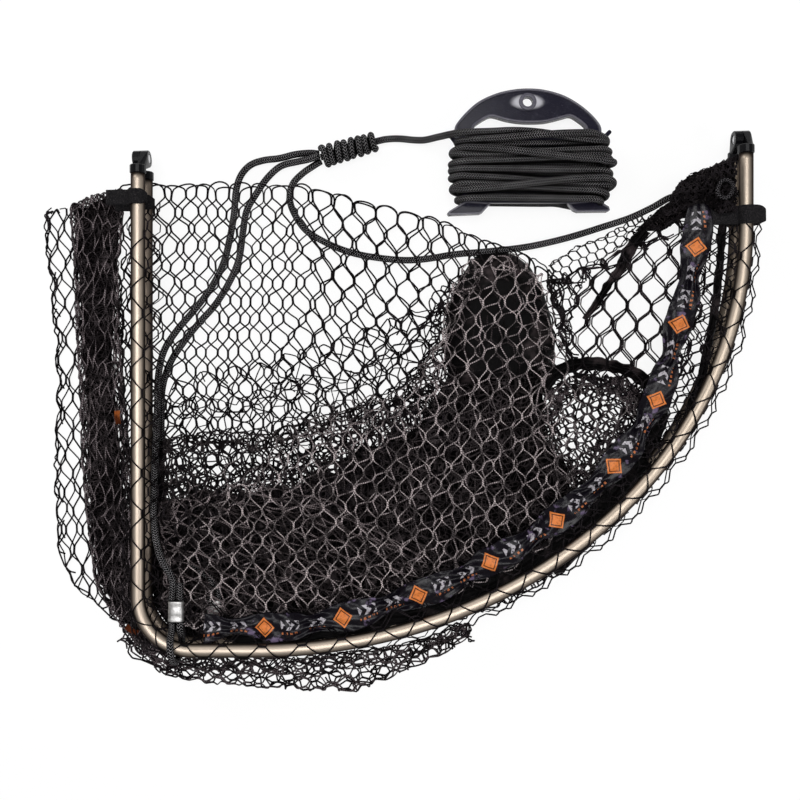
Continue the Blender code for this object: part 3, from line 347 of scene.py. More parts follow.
class Recipe:
    """One procedural material: a node tree round a Principled shader."""

    def __init__(self, name: str) -> None:
        """Start a material with its Principled shader alone."""
        self.material = bpy.data.materials.new(name)
        self.material.use_nodes = True
        self.tree = self.material.node_tree
        self.shader = self.tree.nodes["Principled BSDF"]

    def node(self, kind: str, settings: dict | None = None,
             inputs: dict | None = None) -> bpy.types.Node:
        """Add a node.

        Args:
            kind: The node's type.
            settings: Its settings, set before its sockets.
            inputs: Values or links of its sockets, by name or number.

        Returns:
            The node.
        """
        node = self.tree.nodes.new(kind)
        for key, value in (settings or {}).items():
            setattr(node, key, value)
        for key, value in (inputs or {}).items():
            self.join(node.inputs[key], value)
        return node

    def join(self, socket: bpy.types.NodeSocket, value: object) -> None:
        """Give a socket a value, a colour or a link."""
        if isinstance(value, Channel):
            value = value.socket
        if isinstance(value, bpy.types.NodeSocket):
            self.tree.links.new(value, socket)
        elif isinstance(value, tuple) and socket.type == "RGBA" and len(value) == 3:
            socket.default_value = (*value, 1.0)
        else:
            socket.default_value = value

    def channel(self, kind: str, settings: dict | None = None, inputs: dict | None = None,
                output: str | int = 0) -> Channel:
        """Add a node and take one of its results as a number."""
        return Channel(self, self.node(kind, settings, inputs).outputs[output])

    def place(self, scale: tuple = (1, 1, 1), turn: tuple = (0, 0, 0)) -> bpy.types.NodeSocket:
        """Object coordinates, scaled and turned."""
        source = self.node("ShaderNodeTexCoord").outputs["Object"]
        return self.node("ShaderNodeMapping", None, {
            "Vector": source, "Scale": scale, "Rotation": turn}).outputs[0]

    def parts(self, vector: object) -> tuple[Channel, Channel]:
        """The first two numbers of a vector."""
        split = self.node("ShaderNodeSeparateXYZ", None, {0: vector})
        return Channel(self, split.outputs[0]), Channel(self, split.outputs[1])

    def surface(self) -> tuple[Channel, Channel]:
        """A piece's own UV map: round or across it, and along it."""
        return self.parts(self.node("ShaderNodeUVMap", {"uv_map": "UVMap"}).outputs[0])

    def edge(self) -> Channel:
        """How far a surface turns away from the eye: 0 straight on, 1 at its outline."""
        return self.channel("ShaderNodeLayerWeight", None, {"Blend": 0.5}, "Facing")

    def grain(self, vector: object, scale: float, detail: float = 3.0) -> Channel:
        """Noise between 0 and 1 on some coordinates."""
        return self.channel("ShaderNodeTexNoise", None, {
            "Vector": vector, "Scale": scale, "Detail": detail})

    def cells(self, vector: object, scale: float) -> Channel:
        """Distance to the edges of irregular cells."""
        return self.channel("ShaderNodeTexVoronoi", {"feature": "DISTANCE_TO_EDGE"}, {
            "Vector": vector, "Scale": scale}, "Distance")

    def hollow(self, reach: float, low: float, high: float) -> Channel:
        """How open a place is, by ambient occlusion: 0 deep between neighbours, 1 free to all sides.
        Multiplied into a colour, it paints shade.
        """
        open_air = self.channel("ShaderNodeAmbientOcclusion", {"samples": 6}, {
            "Distance": reach}, "AO")
        return open_air.rise(low, high)

    def point(self, *values: object) -> bpy.types.NodeSocket:
        """A vector from its parts."""
        return self.node("ShaderNodeCombineXYZ", None, dict(enumerate(values))).outputs[0]

    def blend(self, factor: object, first: object, second: object) -> bpy.types.NodeSocket:
        """A colour between two colours.

        Args:
            factor: 0 for the first, 1 for the second.
            first: A colour or a link.
            second: A colour or a link.

        Returns:
            The colour's socket.
        """
        node = self.node("ShaderNodeMix", {"data_type": "RGBA"}, {0: factor})
        self.join(node.inputs[6], first)
        self.join(node.inputs[7], second)
        return node.outputs[2]

    def bump(self, height: object, distance: float, strength: float = 1.0) -> None:
        """Feed the shader's normal from a height.

        Args:
            height: The height, 0 to 1.
            distance: How far 1 stands out, in metres.
            strength: How strongly it shows.
        """
        normal = self.node("ShaderNodeBump", None, {
            "Height": height, "Distance": distance, "Strength": strength})
        self.join(self.shader.inputs["Normal"], normal.outputs[0])

    def feed(self, values: dict) -> bpy.types.Material:
        """Set the shader's sockets and hand over the material."""
        for key, value in values.items():
            self.join(self.shader.inputs[key], value)
        return self.material


class Finish:
    """A finish of the object, made once and shared by the pieces that are given it."""

    slot = ""
    made: dict = {}

    def build(self, recipe: Recipe) -> bpy.types.Material:
        """Lay out the finish's nodes."""
        raise NotImplementedError

    def material(self) -> bpy.types.Material:
        """Make the material, or fetch it."""
        key = repr(self)
        if key not in Finish.made:
            name = f"{type(self).__name__.lower()}_{len(Finish.made)}"
            Finish.made[key] = self.build(Recipe(name))
        return Finish.made[key]


@dataclass(frozen=True)
class SatinTube(Finish):
    """Champagne anodised aluminium with a fine drawn grain."""

    slot = "champagne_aluminium"
    colour: tuple = (0.66, 0.56, 0.465)
    shade: tuple = (0.54, 0.45, 0.365)
    # Painted shade: the colour the tube turns towards its outline as seen, standing in for dim
    # reflections at grazing angles
    painted_edge_shade: tuple = (0.045, 0.034, 0.028)
    roughness: float = 0.43

    def build(self, recipe: Recipe) -> bpy.types.Material:
        """Lay out the drawn grain, the handling marks, the worn spots, a darker, browner tone towards
        the right of the ring and painted shade towards the outline as seen.
        """
        around, along = recipe.surface()
        drawn = recipe.grain(recipe.point(around * 60, along * 6, 0), 1.0, 4.0)
        cloud = recipe.grain(recipe.place(), 38.0, 4.0)
        marks = recipe.grain(recipe.point(around * 9, along * 90, 0), 1.0, 2.0).rise(0.66, 0.72)
        tone = recipe.blend(drawn.rise(0.25, 0.75) * 0.7 + cloud * 0.3, self.shade, self.colour)
        recipe.bump(drawn * 0.6 + marks * 0.4, 0.00003, 0.5)
        tone = recipe.blend(marks * 0.25, tone, (0.70, 0.62, 0.54))
        # Darker and browner towards the right of the ring
        right = recipe.parts(recipe.place())[0].rise(0.0, 0.34) * 0.55
        tone = recipe.blend(right, tone, recipe.blend(0.42, tone, (0.20, 0.165, 0.110)))
        return recipe.feed({
            # Painted shade: Layer Weight darkens the colour towards the outline as seen
            "Base Color": recipe.blend(recipe.edge().rise(0.03, 0.50), tone, self.painted_edge_shade),
            "Roughness": self.roughness + (cloud - 0.5) * 0.14 + marks * 0.08,
            "Metallic": 0.80, "Specular Tint": (0.25, 0.20, 0.17, 1.0),
        })


@dataclass(frozen=True)
class GlossPlastic(Finish):
    """Moulded plastic with a faint flow grain, paler scuffs and high spots, and where asked a painted
    highlight about a centre.
    """

    slot = "black_plastic"
    colour: tuple = (0.010, 0.010, 0.012)
    worn: tuple = (0.040, 0.040, 0.045)
    roughness: float = 0.26
    gloss: float = 0.35
    # Centre of a painted highlight on the plastic, or None for none
    painted_highlight: tuple | None = None

    def build(self, recipe: Recipe) -> bpy.types.Material:
        """Lay out the grain, the scuffs and the gloss."""
        place = recipe.place()
        flow = recipe.grain(place, 160.0, 3.0)
        fine = recipe.grain(place, 2400.0, 2.0)
        scuff = recipe.grain(recipe.place((1, 6, 1), (0, 0, 0.4)), 420.0, 3.0).rise(0.60, 0.72)
        recipe.bump(flow * 0.5 + fine * 0.3 - scuff * 0.2, 0.00008, 0.6)
        tone = recipe.blend(scuff * 0.35 + flow.rise(0.5, 0.8) * 0.15, self.colour, self.worn)
        # Painted highlight about the given centre
        if self.painted_highlight:
            x, y = recipe.parts(place)
            x, y = (x - self.painted_highlight[0]) / 0.0185, (y - self.painted_highlight[1]) / 0.0085
            painted_glint = 1 - (x * x + y * y + flow * 0.3).rise(0.45, 1.25)
            # Painted highlight: a near-white oval about the centre, standing in for the lamps' glint on
            # the lens
            tone = recipe.blend(painted_glint * 0.85, tone, (0.66, 0.65, 0.70))
        return recipe.feed({
            "Base Color": tone,
            "Roughness": self.roughness + (flow - 0.5) * 0.18 + scuff * 0.18,
            "Coat Weight": 0.4 * self.gloss, "Coat Roughness": 0.34, "Specular IOR Level": self.gloss,
        })


@dataclass(frozen=True)
class TurnedSteel(Finish):
    """Turned steel with fine rings."""

    slot = "steel"

    def build(self, recipe: Recipe) -> bpy.types.Material:
        """Lay out the turning marks."""
        marks = recipe.grain(recipe.place((14, 1, 1)), 900.0, 2.0)
        recipe.bump(marks, 0.00002, 0.6)
        return recipe.feed({
            "Base Color": recipe.blend(marks, (0.42, 0.42, 0.43), (0.60, 0.60, 0.61)),
            "Roughness": 0.24 + marks * 0.16, "Metallic": 1.0,
        })


@dataclass(frozen=True)
class CrimpedSilver(Finish):
    """Soft plated metal of a crimped ferrule."""

    slot = "silver_ferrule"

    def build(self, recipe: Recipe) -> bpy.types.Material:
        """Lay out the tool marks and the brushed grain."""
        grain = recipe.grain(recipe.place((1, 0.2, 1)), 2600.0, 3.0)
        dents = recipe.grain(recipe.place(), 300.0, 2.0)
        recipe.bump(grain * 0.3 + dents * 0.7, 0.00008, 0.6)
        return recipe.feed({
            "Base Color": recipe.blend(dents.rise(0.35, 0.7), (0.52, 0.51, 0.50), (0.78, 0.77, 0.76)),
            "Roughness": 0.30 + grain * 0.2, "Metallic": 0.85,
        })


@dataclass(frozen=True)
class BraidedRope(Finish):
    """Black plaited rope: slanting strands that meet in chevrons along it."""

    slot = "black_rope"
    columns: int = 4
    lay: float = 0.0025
    low: tuple = (0.0008, 0.0008, 0.0009)
    # Colour of the painted highlight on the strands' crowns; the rope itself is near black
    high: tuple = (0.47, 0.455, 0.47)

    def build(self, recipe: Recipe) -> bpy.types.Material:
        """Lay out the plait on the rope's own coordinates, with painted highlights on the strands'
        crowns and painted shade where the ropes lie close.
        """
        around, along = recipe.surface()
        slant = ((around * self.columns).part() - 0.5).size() * 2
        stroke = ((along / self.lay + slant * 1.1) * 2 * math.pi).sine() * 0.5 + 0.5
        seam = 1 - slant.rise(0.0, 0.12) * (1 - slant.rise(0.86, 1.0))
        fuzz = recipe.grain(recipe.place(), 1500.0, 3.0)
        highlight_patches = recipe.grain(recipe.place(), 70.0, 2.0)
        height = stroke * (1 - seam * 0.6)
        recipe.bump(height * 0.8 + fuzz * 0.3, 0.0011, 0.9)
        # Painted highlight on the strands' crowns, stronger in patches
        light = height.rise(0.62, 0.98) * (0.4 + fuzz.rise(0.3, 0.7) * 0.6) * (0.35 + highlight_patches)
        # Painted shade where the ropes lie close
        light = light * recipe.hollow(0.007, 0.35, 0.90)
        return recipe.feed({
            "Base Color": recipe.blend(light, self.low, self.high),
            "Roughness": 0.66 - height * 0.14, "Specular IOR Level": 0.012,
        })


@dataclass(frozen=True)
class Twine(Finish):
    """Black twisted net twine, with painted shade in its lay and painted highlights on its crowns."""

    slot = "black_netting"
    low: tuple = (0.0022, 0.0018, 0.0020)
    high: tuple = (0.030, 0.025, 0.028)
    # Fades dims the painted light beyond the heap; deep adds painted shade where neighbours close in
    fades: bool = False
    deep: bool = False

    def build(self, recipe: Recipe) -> bpy.types.Material:
        """Lay out the twist and the patches of painted light, which fade beyond the heap where that is
        asked.
        """
        around, along = recipe.surface()
        twist = ((around + along * 420) * 2 * math.pi).sine()
        painted_light_patches = recipe.grain(recipe.place(), 75.0, 3.0)
        fuzz = recipe.grain(recipe.place(), 1500.0, 2.0)
        recipe.bump(twist * 0.5 + 0.5, 0.0002, 0.7)
        # Painted highlight on the twist's crowns, lit in patches
        light = (twist.rise(-0.8, 0.8) * 0.6 + 0.12 + fuzz * 0.2) * (painted_light_patches.rise(0.38, 0.62) * 1.1 + 0.15)
        # Painted shade in the hollows
        if self.deep:
            light = light * recipe.hollow(0.010, 0.15, 0.75)
        # The painted light dims beyond the heap
        if self.fades:
            x, y = recipe.parts(recipe.place())
            beyond = (y - x * 0.448 + 0.0166).rise(-0.012, 0.040) * (1 - x.rise(0.020, 0.055))
            beyond = beyond.higher(x.rise(0.150, 0.200) * 0.8)
            light = light * (1 - beyond * 0.88)
        return recipe.feed({
            "Base Color": recipe.blend(light, self.low, self.high),
            "Roughness": 0.58 + fuzz * 0.2, "Specular IOR Level": 0.03,
        })


@dataclass(frozen=True)
class PrintedSatin(Finish):
    """Purple-black satin ribbon with printed lozenges, chevrons and ticks of its own pattern."""

    slot = "satin_ribbon"
    repeat: float = PRINT_REPEAT
    start: float = 0.021
    width: float = 0.030
    lozenge: float = 0.0100
    cloth: tuple = (0.0035, 0.0027, 0.0050)
    painted_sheen: tuple = (0.175, 0.130, 0.225)
    orange: tuple = (0.80, 0.235, 0.055)
    pale: tuple = (0.55, 0.52, 0.56)

    def build(self, recipe: Recipe) -> bpy.types.Material:
        """Lay out the satin and its print on the ribbon's own coordinates."""
        across, along = recipe.surface()
        step = (along - self.start) / self.repeat
        x = (step.part() - 0.5) * self.repeat
        y = (across - 0.5) * self.width
        reach = x.size() + y.size() * 0.92
        spot = 1 - reach.rise(self.lozenge - 0.0003, self.lozenge + 0.0003)
        frame_in = reach.rise(self.lozenge * 0.62, self.lozenge * 0.66)
        frame_out = 1 - reach.rise(self.lozenge * 0.76, self.lozenge * 0.80)
        spot = spot * (1 - frame_in * frame_out * 0.9)
        away = x.size()
        between = away.rise(0.0165, 0.0175) * (1 - away.rise(0.0345, 0.0355))
        row = 1 - (y + 0.0062).size().rise(0.0010, 0.0014)
        ticks = ((along / 0.0046).part() - 0.5).size().rise(0.22, 0.27) * row * between
        band = 1 - (y - 0.0026).size().rise(0.0052, 0.0056)
        arrow = ((x + (y - 0.0026).size() * 0.8) / 0.0094).part()
        chevrons = (arrow - 0.5).size().rise(0.24, 0.29) * band * between
        weave = recipe.grain(recipe.point(across * 260, along * 60, 0), 1.0, 2.0)
        crease = recipe.grain(recipe.place((1, 1, 0.4)), 95.0, 3.0)
        rub = recipe.grain(recipe.place(), 420.0, 2.0).rise(0.38, 0.50)
        # Painted sheen: the creases' crests turn pale lilac, standing in for the lamps' highlights on
        # the satin
        base = recipe.blend(crease.rise(0.60, 0.70) * 0.8 + weave * 0.02, self.cloth, self.painted_sheen)
        base = recipe.blend(chevrons * 0.9 * rub, base, self.pale)
        base = recipe.blend(ticks * rub, base, (0.50, 0.16, 0.06))
        base = recipe.blend(spot * (0.75 + rub * 0.25), base, self.orange)
        recipe.bump(crease * 0.9 + weave * 0.1, 0.0012, 0.8)
        return recipe.feed({
            "Base Color": base, "Roughness": 0.12 + crease * 0.10 + spot * 0.30,
            "Specular IOR Level": 0.26,
        })


@dataclass(frozen=True)
class PlainSatin(Finish):
    """Dark coated cloth with soft creases and a faint weave."""

    slot = "satin_ribbon"
    low: tuple = (0.0012, 0.0010, 0.0012)
    # Colour of the painted highlights on the folds; low is the cloth's own colour
    high: tuple = (0.060, 0.046, 0.048)

    def build(self, recipe: Recipe) -> bpy.types.Material:
        """Lay out creases, weave and painted highlights on the folds."""
        crease = recipe.grain(recipe.place((1, 1, 0.5)), 42.0, 4.0)
        weave = recipe.grain(recipe.place(), 1900.0, 2.0)
        recipe.bump(crease * 0.75 + weave * 0.25, 0.0030, 0.7)
        return recipe.feed({
            # Painted highlights on the folds' crests
            "Base Color": recipe.blend(
                crease.rise(0.52, 0.72) * 0.85 + weave * 0.03, self.low, self.high),
            "Roughness": 0.32 + crease * 0.2, "Specular IOR Level": 0.08,
        })


@dataclass(frozen=True)
class LoopPile(Finish):
    """Black hook-and-loop webbing: ribs along it and a short pile."""

    slot = "hook_and_loop"
    low: tuple = (0.006, 0.006, 0.007)
    high: tuple = (0.055, 0.050, 0.052)

    def build(self, recipe: Recipe) -> bpy.types.Material:
        """Lay out the pile and the rib."""
        pile = recipe.grain(recipe.place(), 950.0, 4.0)
        tuft = recipe.grain(recipe.place(), 260.0, 2.0)
        recipe.bump(pile * 0.6 + tuft * 0.4, 0.0009, 0.9)
        return recipe.feed({
            "Base Color": recipe.blend(pile.rise(0.45, 0.8) * 0.8 + tuft * 0.2, self.low, self.high),
            "Roughness": 0.86, "Specular IOR Level": 0.05,
        })


@dataclass(frozen=True)
class PackedNet(Finish):
    """Many crumpled layers of net, too close to tell apart."""

    slot = "black_netting"
    mesh: float = 95.0
    low: tuple = (0.0008, 0.0006, 0.0007)
    # Colour of the painted highlights on the packed twine
    high: tuple = (0.15, 0.125, 0.130)

    def build(self, recipe: Recipe) -> bpy.types.Material:
        """Lay out two crumpled meshes of twine in painted highlights over black hollows; a depth noise
        dims them as painted shade.
        """
        source = recipe.place((1, 1, 0.6))
        wander = recipe.node("ShaderNodeTexNoise", None, {
            "Vector": source, "Scale": 40.0, "Detail": 2.0})
        moved = recipe.node("ShaderNodeVectorMath", {"operation": "MULTIPLY_ADD"}, {
            0: wander.outputs["Color"], 1: (0.020, 0.020, 0.012), 2: source}).outputs[0]
        first = 1 - recipe.cells(moved, self.mesh).rise(0.02, 0.09)
        second = 1 - recipe.cells(moved, self.mesh * 1.9).rise(0.02, 0.13)
        depth = recipe.grain(source, 30.0, 3.0)
        line = first.higher(second * 0.55) * (0.25 + depth.rise(0.35, 0.7) * 0.75)
        recipe.bump(first * 0.6 + second * 0.3 + depth * 0.3, 0.0035, 0.9)
        return recipe.feed({
            "Base Color": recipe.blend(line, self.low, self.high),
            "Roughness": 0.74 + depth * 0.1, "Specular IOR Level": 0.02,
        })


@dataclass(frozen=True)
class PaleFloor(Finish):
    """Studio floor that shows the camera plain white and keeps the shadows."""

    def build(self, recipe: Recipe) -> bpy.types.Material:
        """Lay out the floor and what the camera and the gloss see of it."""
        rays = recipe.node("ShaderNodeLightPath")
        grain = recipe.grain(recipe.place(), 60.0, 3.0)
        recipe.bump(grain, 0.0001, 0.2)
        recipe.feed({
            "Base Color": recipe.blend(grain, (0.84, 0.84, 0.84), (0.86, 0.86, 0.86)),
            "Roughness": 0.85,
        })
        seen = Channel(recipe, rays.outputs["Is Camera Ray"]).higher(
            Channel(recipe, rays.outputs["Is Glossy Ray"])).higher(
            Channel(recipe, rays.outputs["Is Transmission Ray"]))
        glow = recipe.node("ShaderNodeEmission", None, {"Color": (1.0, 1.0, 1.0), "Strength": 1.08})
        mixed = recipe.node("ShaderNodeMixShader", None, {
            0: seen * 0.80, 1: recipe.shader.outputs[0], 2: glow.outputs[0]})
        output = recipe.tree.nodes["Material Output"]
        recipe.tree.links.new(mixed.outputs[0], output.inputs["Surface"])
        return recipe.material


# Meshes


def link(name: str, data: bpy.types.ID) -> bpy.types.Object:
    """Add an object with its data to the scene."""
    item = bpy.data.objects.new(name, data)
    bpy.context.scene.collection.objects.link(item)
    return item


def dress(item: bpy.types.Object, finish: Finish, half: Half | None = Half.REAR,
          replaces: Sequence[str] = ()) -> bpy.types.Object:
    """Give a new piece its finish and its body.

    Args:
        item: The piece.
        finish: Its finish.
        half: The body that it moves with, or None for no body.
        replaces: The solids that it stands for.

    Returns:
        The piece.
    """
    item.data.materials.append(finish.material())
    if half:
        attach(item, half.value)
    if replaces:
        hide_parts(*replaces)
    LOG.info("piece %s: %d faces", item.name, len(getattr(item.data, "polygons", ())))
    return item


def redress(node: str, finish: Finish) -> None:
    """Give a CAD node's object its finish."""
    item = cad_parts[node]
    for slot in item.material_slots:
        slot.material = finish.material()
    if not item.material_slots:
        item.data.materials.append(finish.material())
    LOG.info("node %s keeps its solid", node)


def meshed(name: str, bm: bmesh.types.BMesh) -> bpy.types.Mesh:
    """Turn a bmesh into a smooth mesh and free it."""
    mesh = bpy.data.meshes.new(name)
    bm.to_mesh(mesh)
    bm.free()
    mesh.shade_smooth()
    return mesh


def baked(curve: bpy.types.Curve) -> bpy.types.Mesh:
    """Turn a curve into a mesh and drop the curve."""
    carrier = bpy.data.objects.new(curve.name, curve)
    mesh = bpy.data.meshes.new_from_object(carrier)
    bpy.data.objects.remove(carrier)
    bpy.data.curves.remove(curve)
    return mesh


def from_bmesh(name: str, bm: bmesh.types.BMesh, smooth_angle: float = 35) -> bpy.types.Object:
    """Turn a bmesh into an object with outward faces.

    Args:
        name: The object's name.
        bm: The bmesh, which is freed.
        smooth_angle: Edges sharper than this, in degrees, stay sharp.

    Returns:
        The object.
    """
    bmesh.ops.remove_doubles(bm, verts=bm.verts, dist=1e-6)
    bmesh.ops.recalc_face_normals(bm, faces=bm.faces)
    mesh = meshed(name, bm)
    mesh.set_sharp_from_angle(angle=math.radians(smooth_angle))
    return link(name, mesh)


def lathe(profile: Sequence[tuple[float, float]], segments: int, matrix: Matrix) -> bmesh.types.BMesh:
    """Turn a profile of radius and height about local Z.

    Args:
        profile: Radius and height of each point.
        segments: Steps round the axis.
        matrix: Where the axis stands.

    Returns:
        The bmesh.
    """
    bm = bmesh.new()
    verts = [bm.verts.new((radius, 0, height)) for radius, height in profile]
    edges = [bm.edges.new(pair) for pair in zip(verts, verts[1:])]
    bmesh.ops.spin(
        bm, geom=verts + edges, cent=(0, 0, 0), axis=(0, 0, 1), dvec=(0, 0, 0),
        angle=2 * math.pi, steps=segments, use_merge=True, use_duplicate=False)
    bmesh.ops.remove_doubles(bm, verts=bm.verts, dist=1e-6)
    bmesh.ops.transform(bm, matrix=matrix, verts=bm.verts)
    return bm


def strands(name: str, paths: Sequence[Sequence], radius: float, sides: int = 4,
            caps: bool = True) -> bpy.types.Object:
    """Round strands along their paths, with a UV map: round the strand, and metres along it.

    Args:
        name: The object's name.
        paths: The strands' paths.
        radius: Half of their thickness.
        sides: Even number of sides.
        caps: Whether their ends are closed.

    Returns:
        The object, a mesh.
    """
    data = bpy.data.curves.new(name, "CURVE")
    data.dimensions = "3D"
    data.bevel_depth = radius
    data.bevel_resolution = (sides - 4) // 2
    data.use_fill_caps = False
    data.twist_mode = "MINIMUM"
    along = []
    for path in paths:
        points = np.array(path, np.float64)
        spline = data.splines.new("POLY")
        spline.points.add(len(points) - 1)
        spline.points.foreach_set("co", np.column_stack([points, np.ones(len(points))]).ravel())
        along.append(lengths_along(points))
    mesh = baked(data)
    mesh.name = name
    corners = np.zeros(len(mesh.loops), np.int32)
    mesh.loops.foreach_get("vertex_index", corners)
    totals = np.zeros(len(mesh.polygons), np.int32)
    mesh.polygons.foreach_get("loop_total", totals)
    # A face across the seam has sides 0 and the last one: its 0 becomes a full turn
    side = (corners % sides).astype(float)
    starts = np.cumsum(totals) - totals
    seam = (np.minimum.reduceat(side, starts) == 0) & (np.maximum.reduceat(side, starts) == sides - 1)
    side[np.repeat(seam, totals) & (side == 0)] = sides
    metres = np.repeat(np.concatenate(along), sides)[corners]
    uv = np.column_stack([side / sides, metres]).astype(np.float32)
    mesh.uv_layers[0].data.foreach_set("uv", uv.ravel())
    if caps:
        bm = bmesh.new()
        bm.from_mesh(mesh)
        bmesh.ops.holes_fill(bm, edges=[edge for edge in bm.edges if edge.is_boundary], sides=0)
        bm.to_mesh(mesh)
        bm.free()
    mesh.shade_smooth()
    return link(name, mesh)


def wobble(points: np.ndarray, length: float, seed: float) -> np.ndarray:
    """Smooth wandering of points, up to about 1 along each axis.

    Args:
        points: Points, one a row.
        length: How long the waves are, in metres.
        seed: Number that picks the pattern.

    Returns:
        The wandering of each point.
    """
    shift = Vector((seed * 7.31, seed * 3.17, seed * 5.73))
    rows = [noise.noise_vector(Vector(point) / length + shift) for point in points]
    return np.array(rows).reshape(-1, 3)


def loft(rings: Sequence[Sequence[Vector]], caps: bool = True) -> bmesh.types.BMesh:
    """Bridge rings of points, one after the other.

    Args:
        rings: Closed rings with the same number of points.
        caps: Whether the first and last ring are closed.

    Returns:
        The bmesh.
    """
    bm = bmesh.new()
    loops = []
    for ring in rings:
        verts = [bm.verts.new(point) for point in ring]
        loops.append([bm.edges.new(pair) for pair in zip(verts, verts[1:] + verts[:1])])
    for first, second in zip(loops, loops[1:]):
        bmesh.ops.bridge_loops(bm, edges=first + second)
    if caps:
        bmesh.ops.holes_fill(bm, edges=loops[0] + loops[-1], sides=0)
    return bm


def band(name: str, counts: tuple[int, int], placer: Callable[[float, float], Vector],
         metres: float) -> bpy.types.Object:
    """A sheet from a grid whose points a function places.

    Args:
        name: The object's name.
        counts: Steps along and across.
        placer: Turns the shares along and across into a point.
        metres: The sheet's length, for its UV map.

    Returns:
        The object, with a UV map: across as a share, along in metres.
    """
    bm = bmesh.new()
    layer = bm.loops.layers.uv.new("UVMap")
    bmesh.ops.create_grid(
        bm, x_segments=counts[0], y_segments=counts[1], size=0.5, calc_uvs=True)
    for face in bm.faces:
        for loop in face.loops:
            loop[layer].uv = (loop.vert.co.y + 0.5, (loop.vert.co.x + 0.5) * metres)
    for vert in bm.verts:
        vert.co = placer(vert.co.x + 0.5, vert.co.y + 0.5)
    return link(name, meshed(name, bm))


def thicken(item: bpy.types.Object, thickness: float, offset: float = 0.0) -> None:
    """Give a sheet its thickness."""
    wall = item.modifiers.new("thickness", "SOLIDIFY")
    wall.thickness = thickness
    wall.offset = offset


def soften(item: bpy.types.Object, width: float) -> None:
    """Round a piece's edges."""
    bevel = item.modifiers.new("edges", "BEVEL")
    bevel.width, bevel.segments = width, 2
    bevel.limit_method, bevel.angle_limit = "ANGLE", math.radians(30)


# The ring


@dataclass
class RingFrame:
    """Both hollow tubes of the ring with their end fittings, pins and washers."""

    sides: int = 40
    tube: Finish = SatinTube()
    # Painted shade: a darker copy of the tube's finish for the rear tube, which lies in shade behind
    # the strands
    shaded_rear_tube: Finish = SatinTube(colour=(0.34, 0.28, 0.23), shade=(0.26, 0.21, 0.17))
    plastic: Finish = GlossPlastic(
        colour=(0.004, 0.004, 0.005), worn=(0.020, 0.020, 0.024), gloss=0.14)
    steel: Finish = TurnedSteel()

    def half_tube(self, name: str, level: float, half: Half) -> None:
        """Sweep one tube with smooth bends and an open bore."""
        path = [point + Vector((0, 0, level)) for point in ring_plan(4)]
        path = [path[0]] + even_steps(path, 0.006) + [path[-1]]
        item = strands(name + "_drawn", [path[1:-1]], TUBE_OD / 2, self.sides, caps=False)
        thicken(item, TUBE_WALL, -1)
        # The rear tube takes the darker copy, as painted shade
        dress(item, self.tube if half is Half.FRONT else self.shaded_rear_tube, half, [name])

    def build(self) -> None:
        """Build both tubes and finish the fittings."""
        self.half_tube(Half.REAR.tube, REAR_Z, Half.REAR)
        self.half_tube(Half.FRONT.tube, FRONT_Z, Half.FRONT)
        for place in ("left", "right"):
            for half in ("rear", "front"):
                redress(f"hinge_fitting_{half}_{place}", self.plastic)
            redress("hinge_pin_" + place, self.steel)
            redress("hinge_washer_" + place, self.steel)


# The bridle


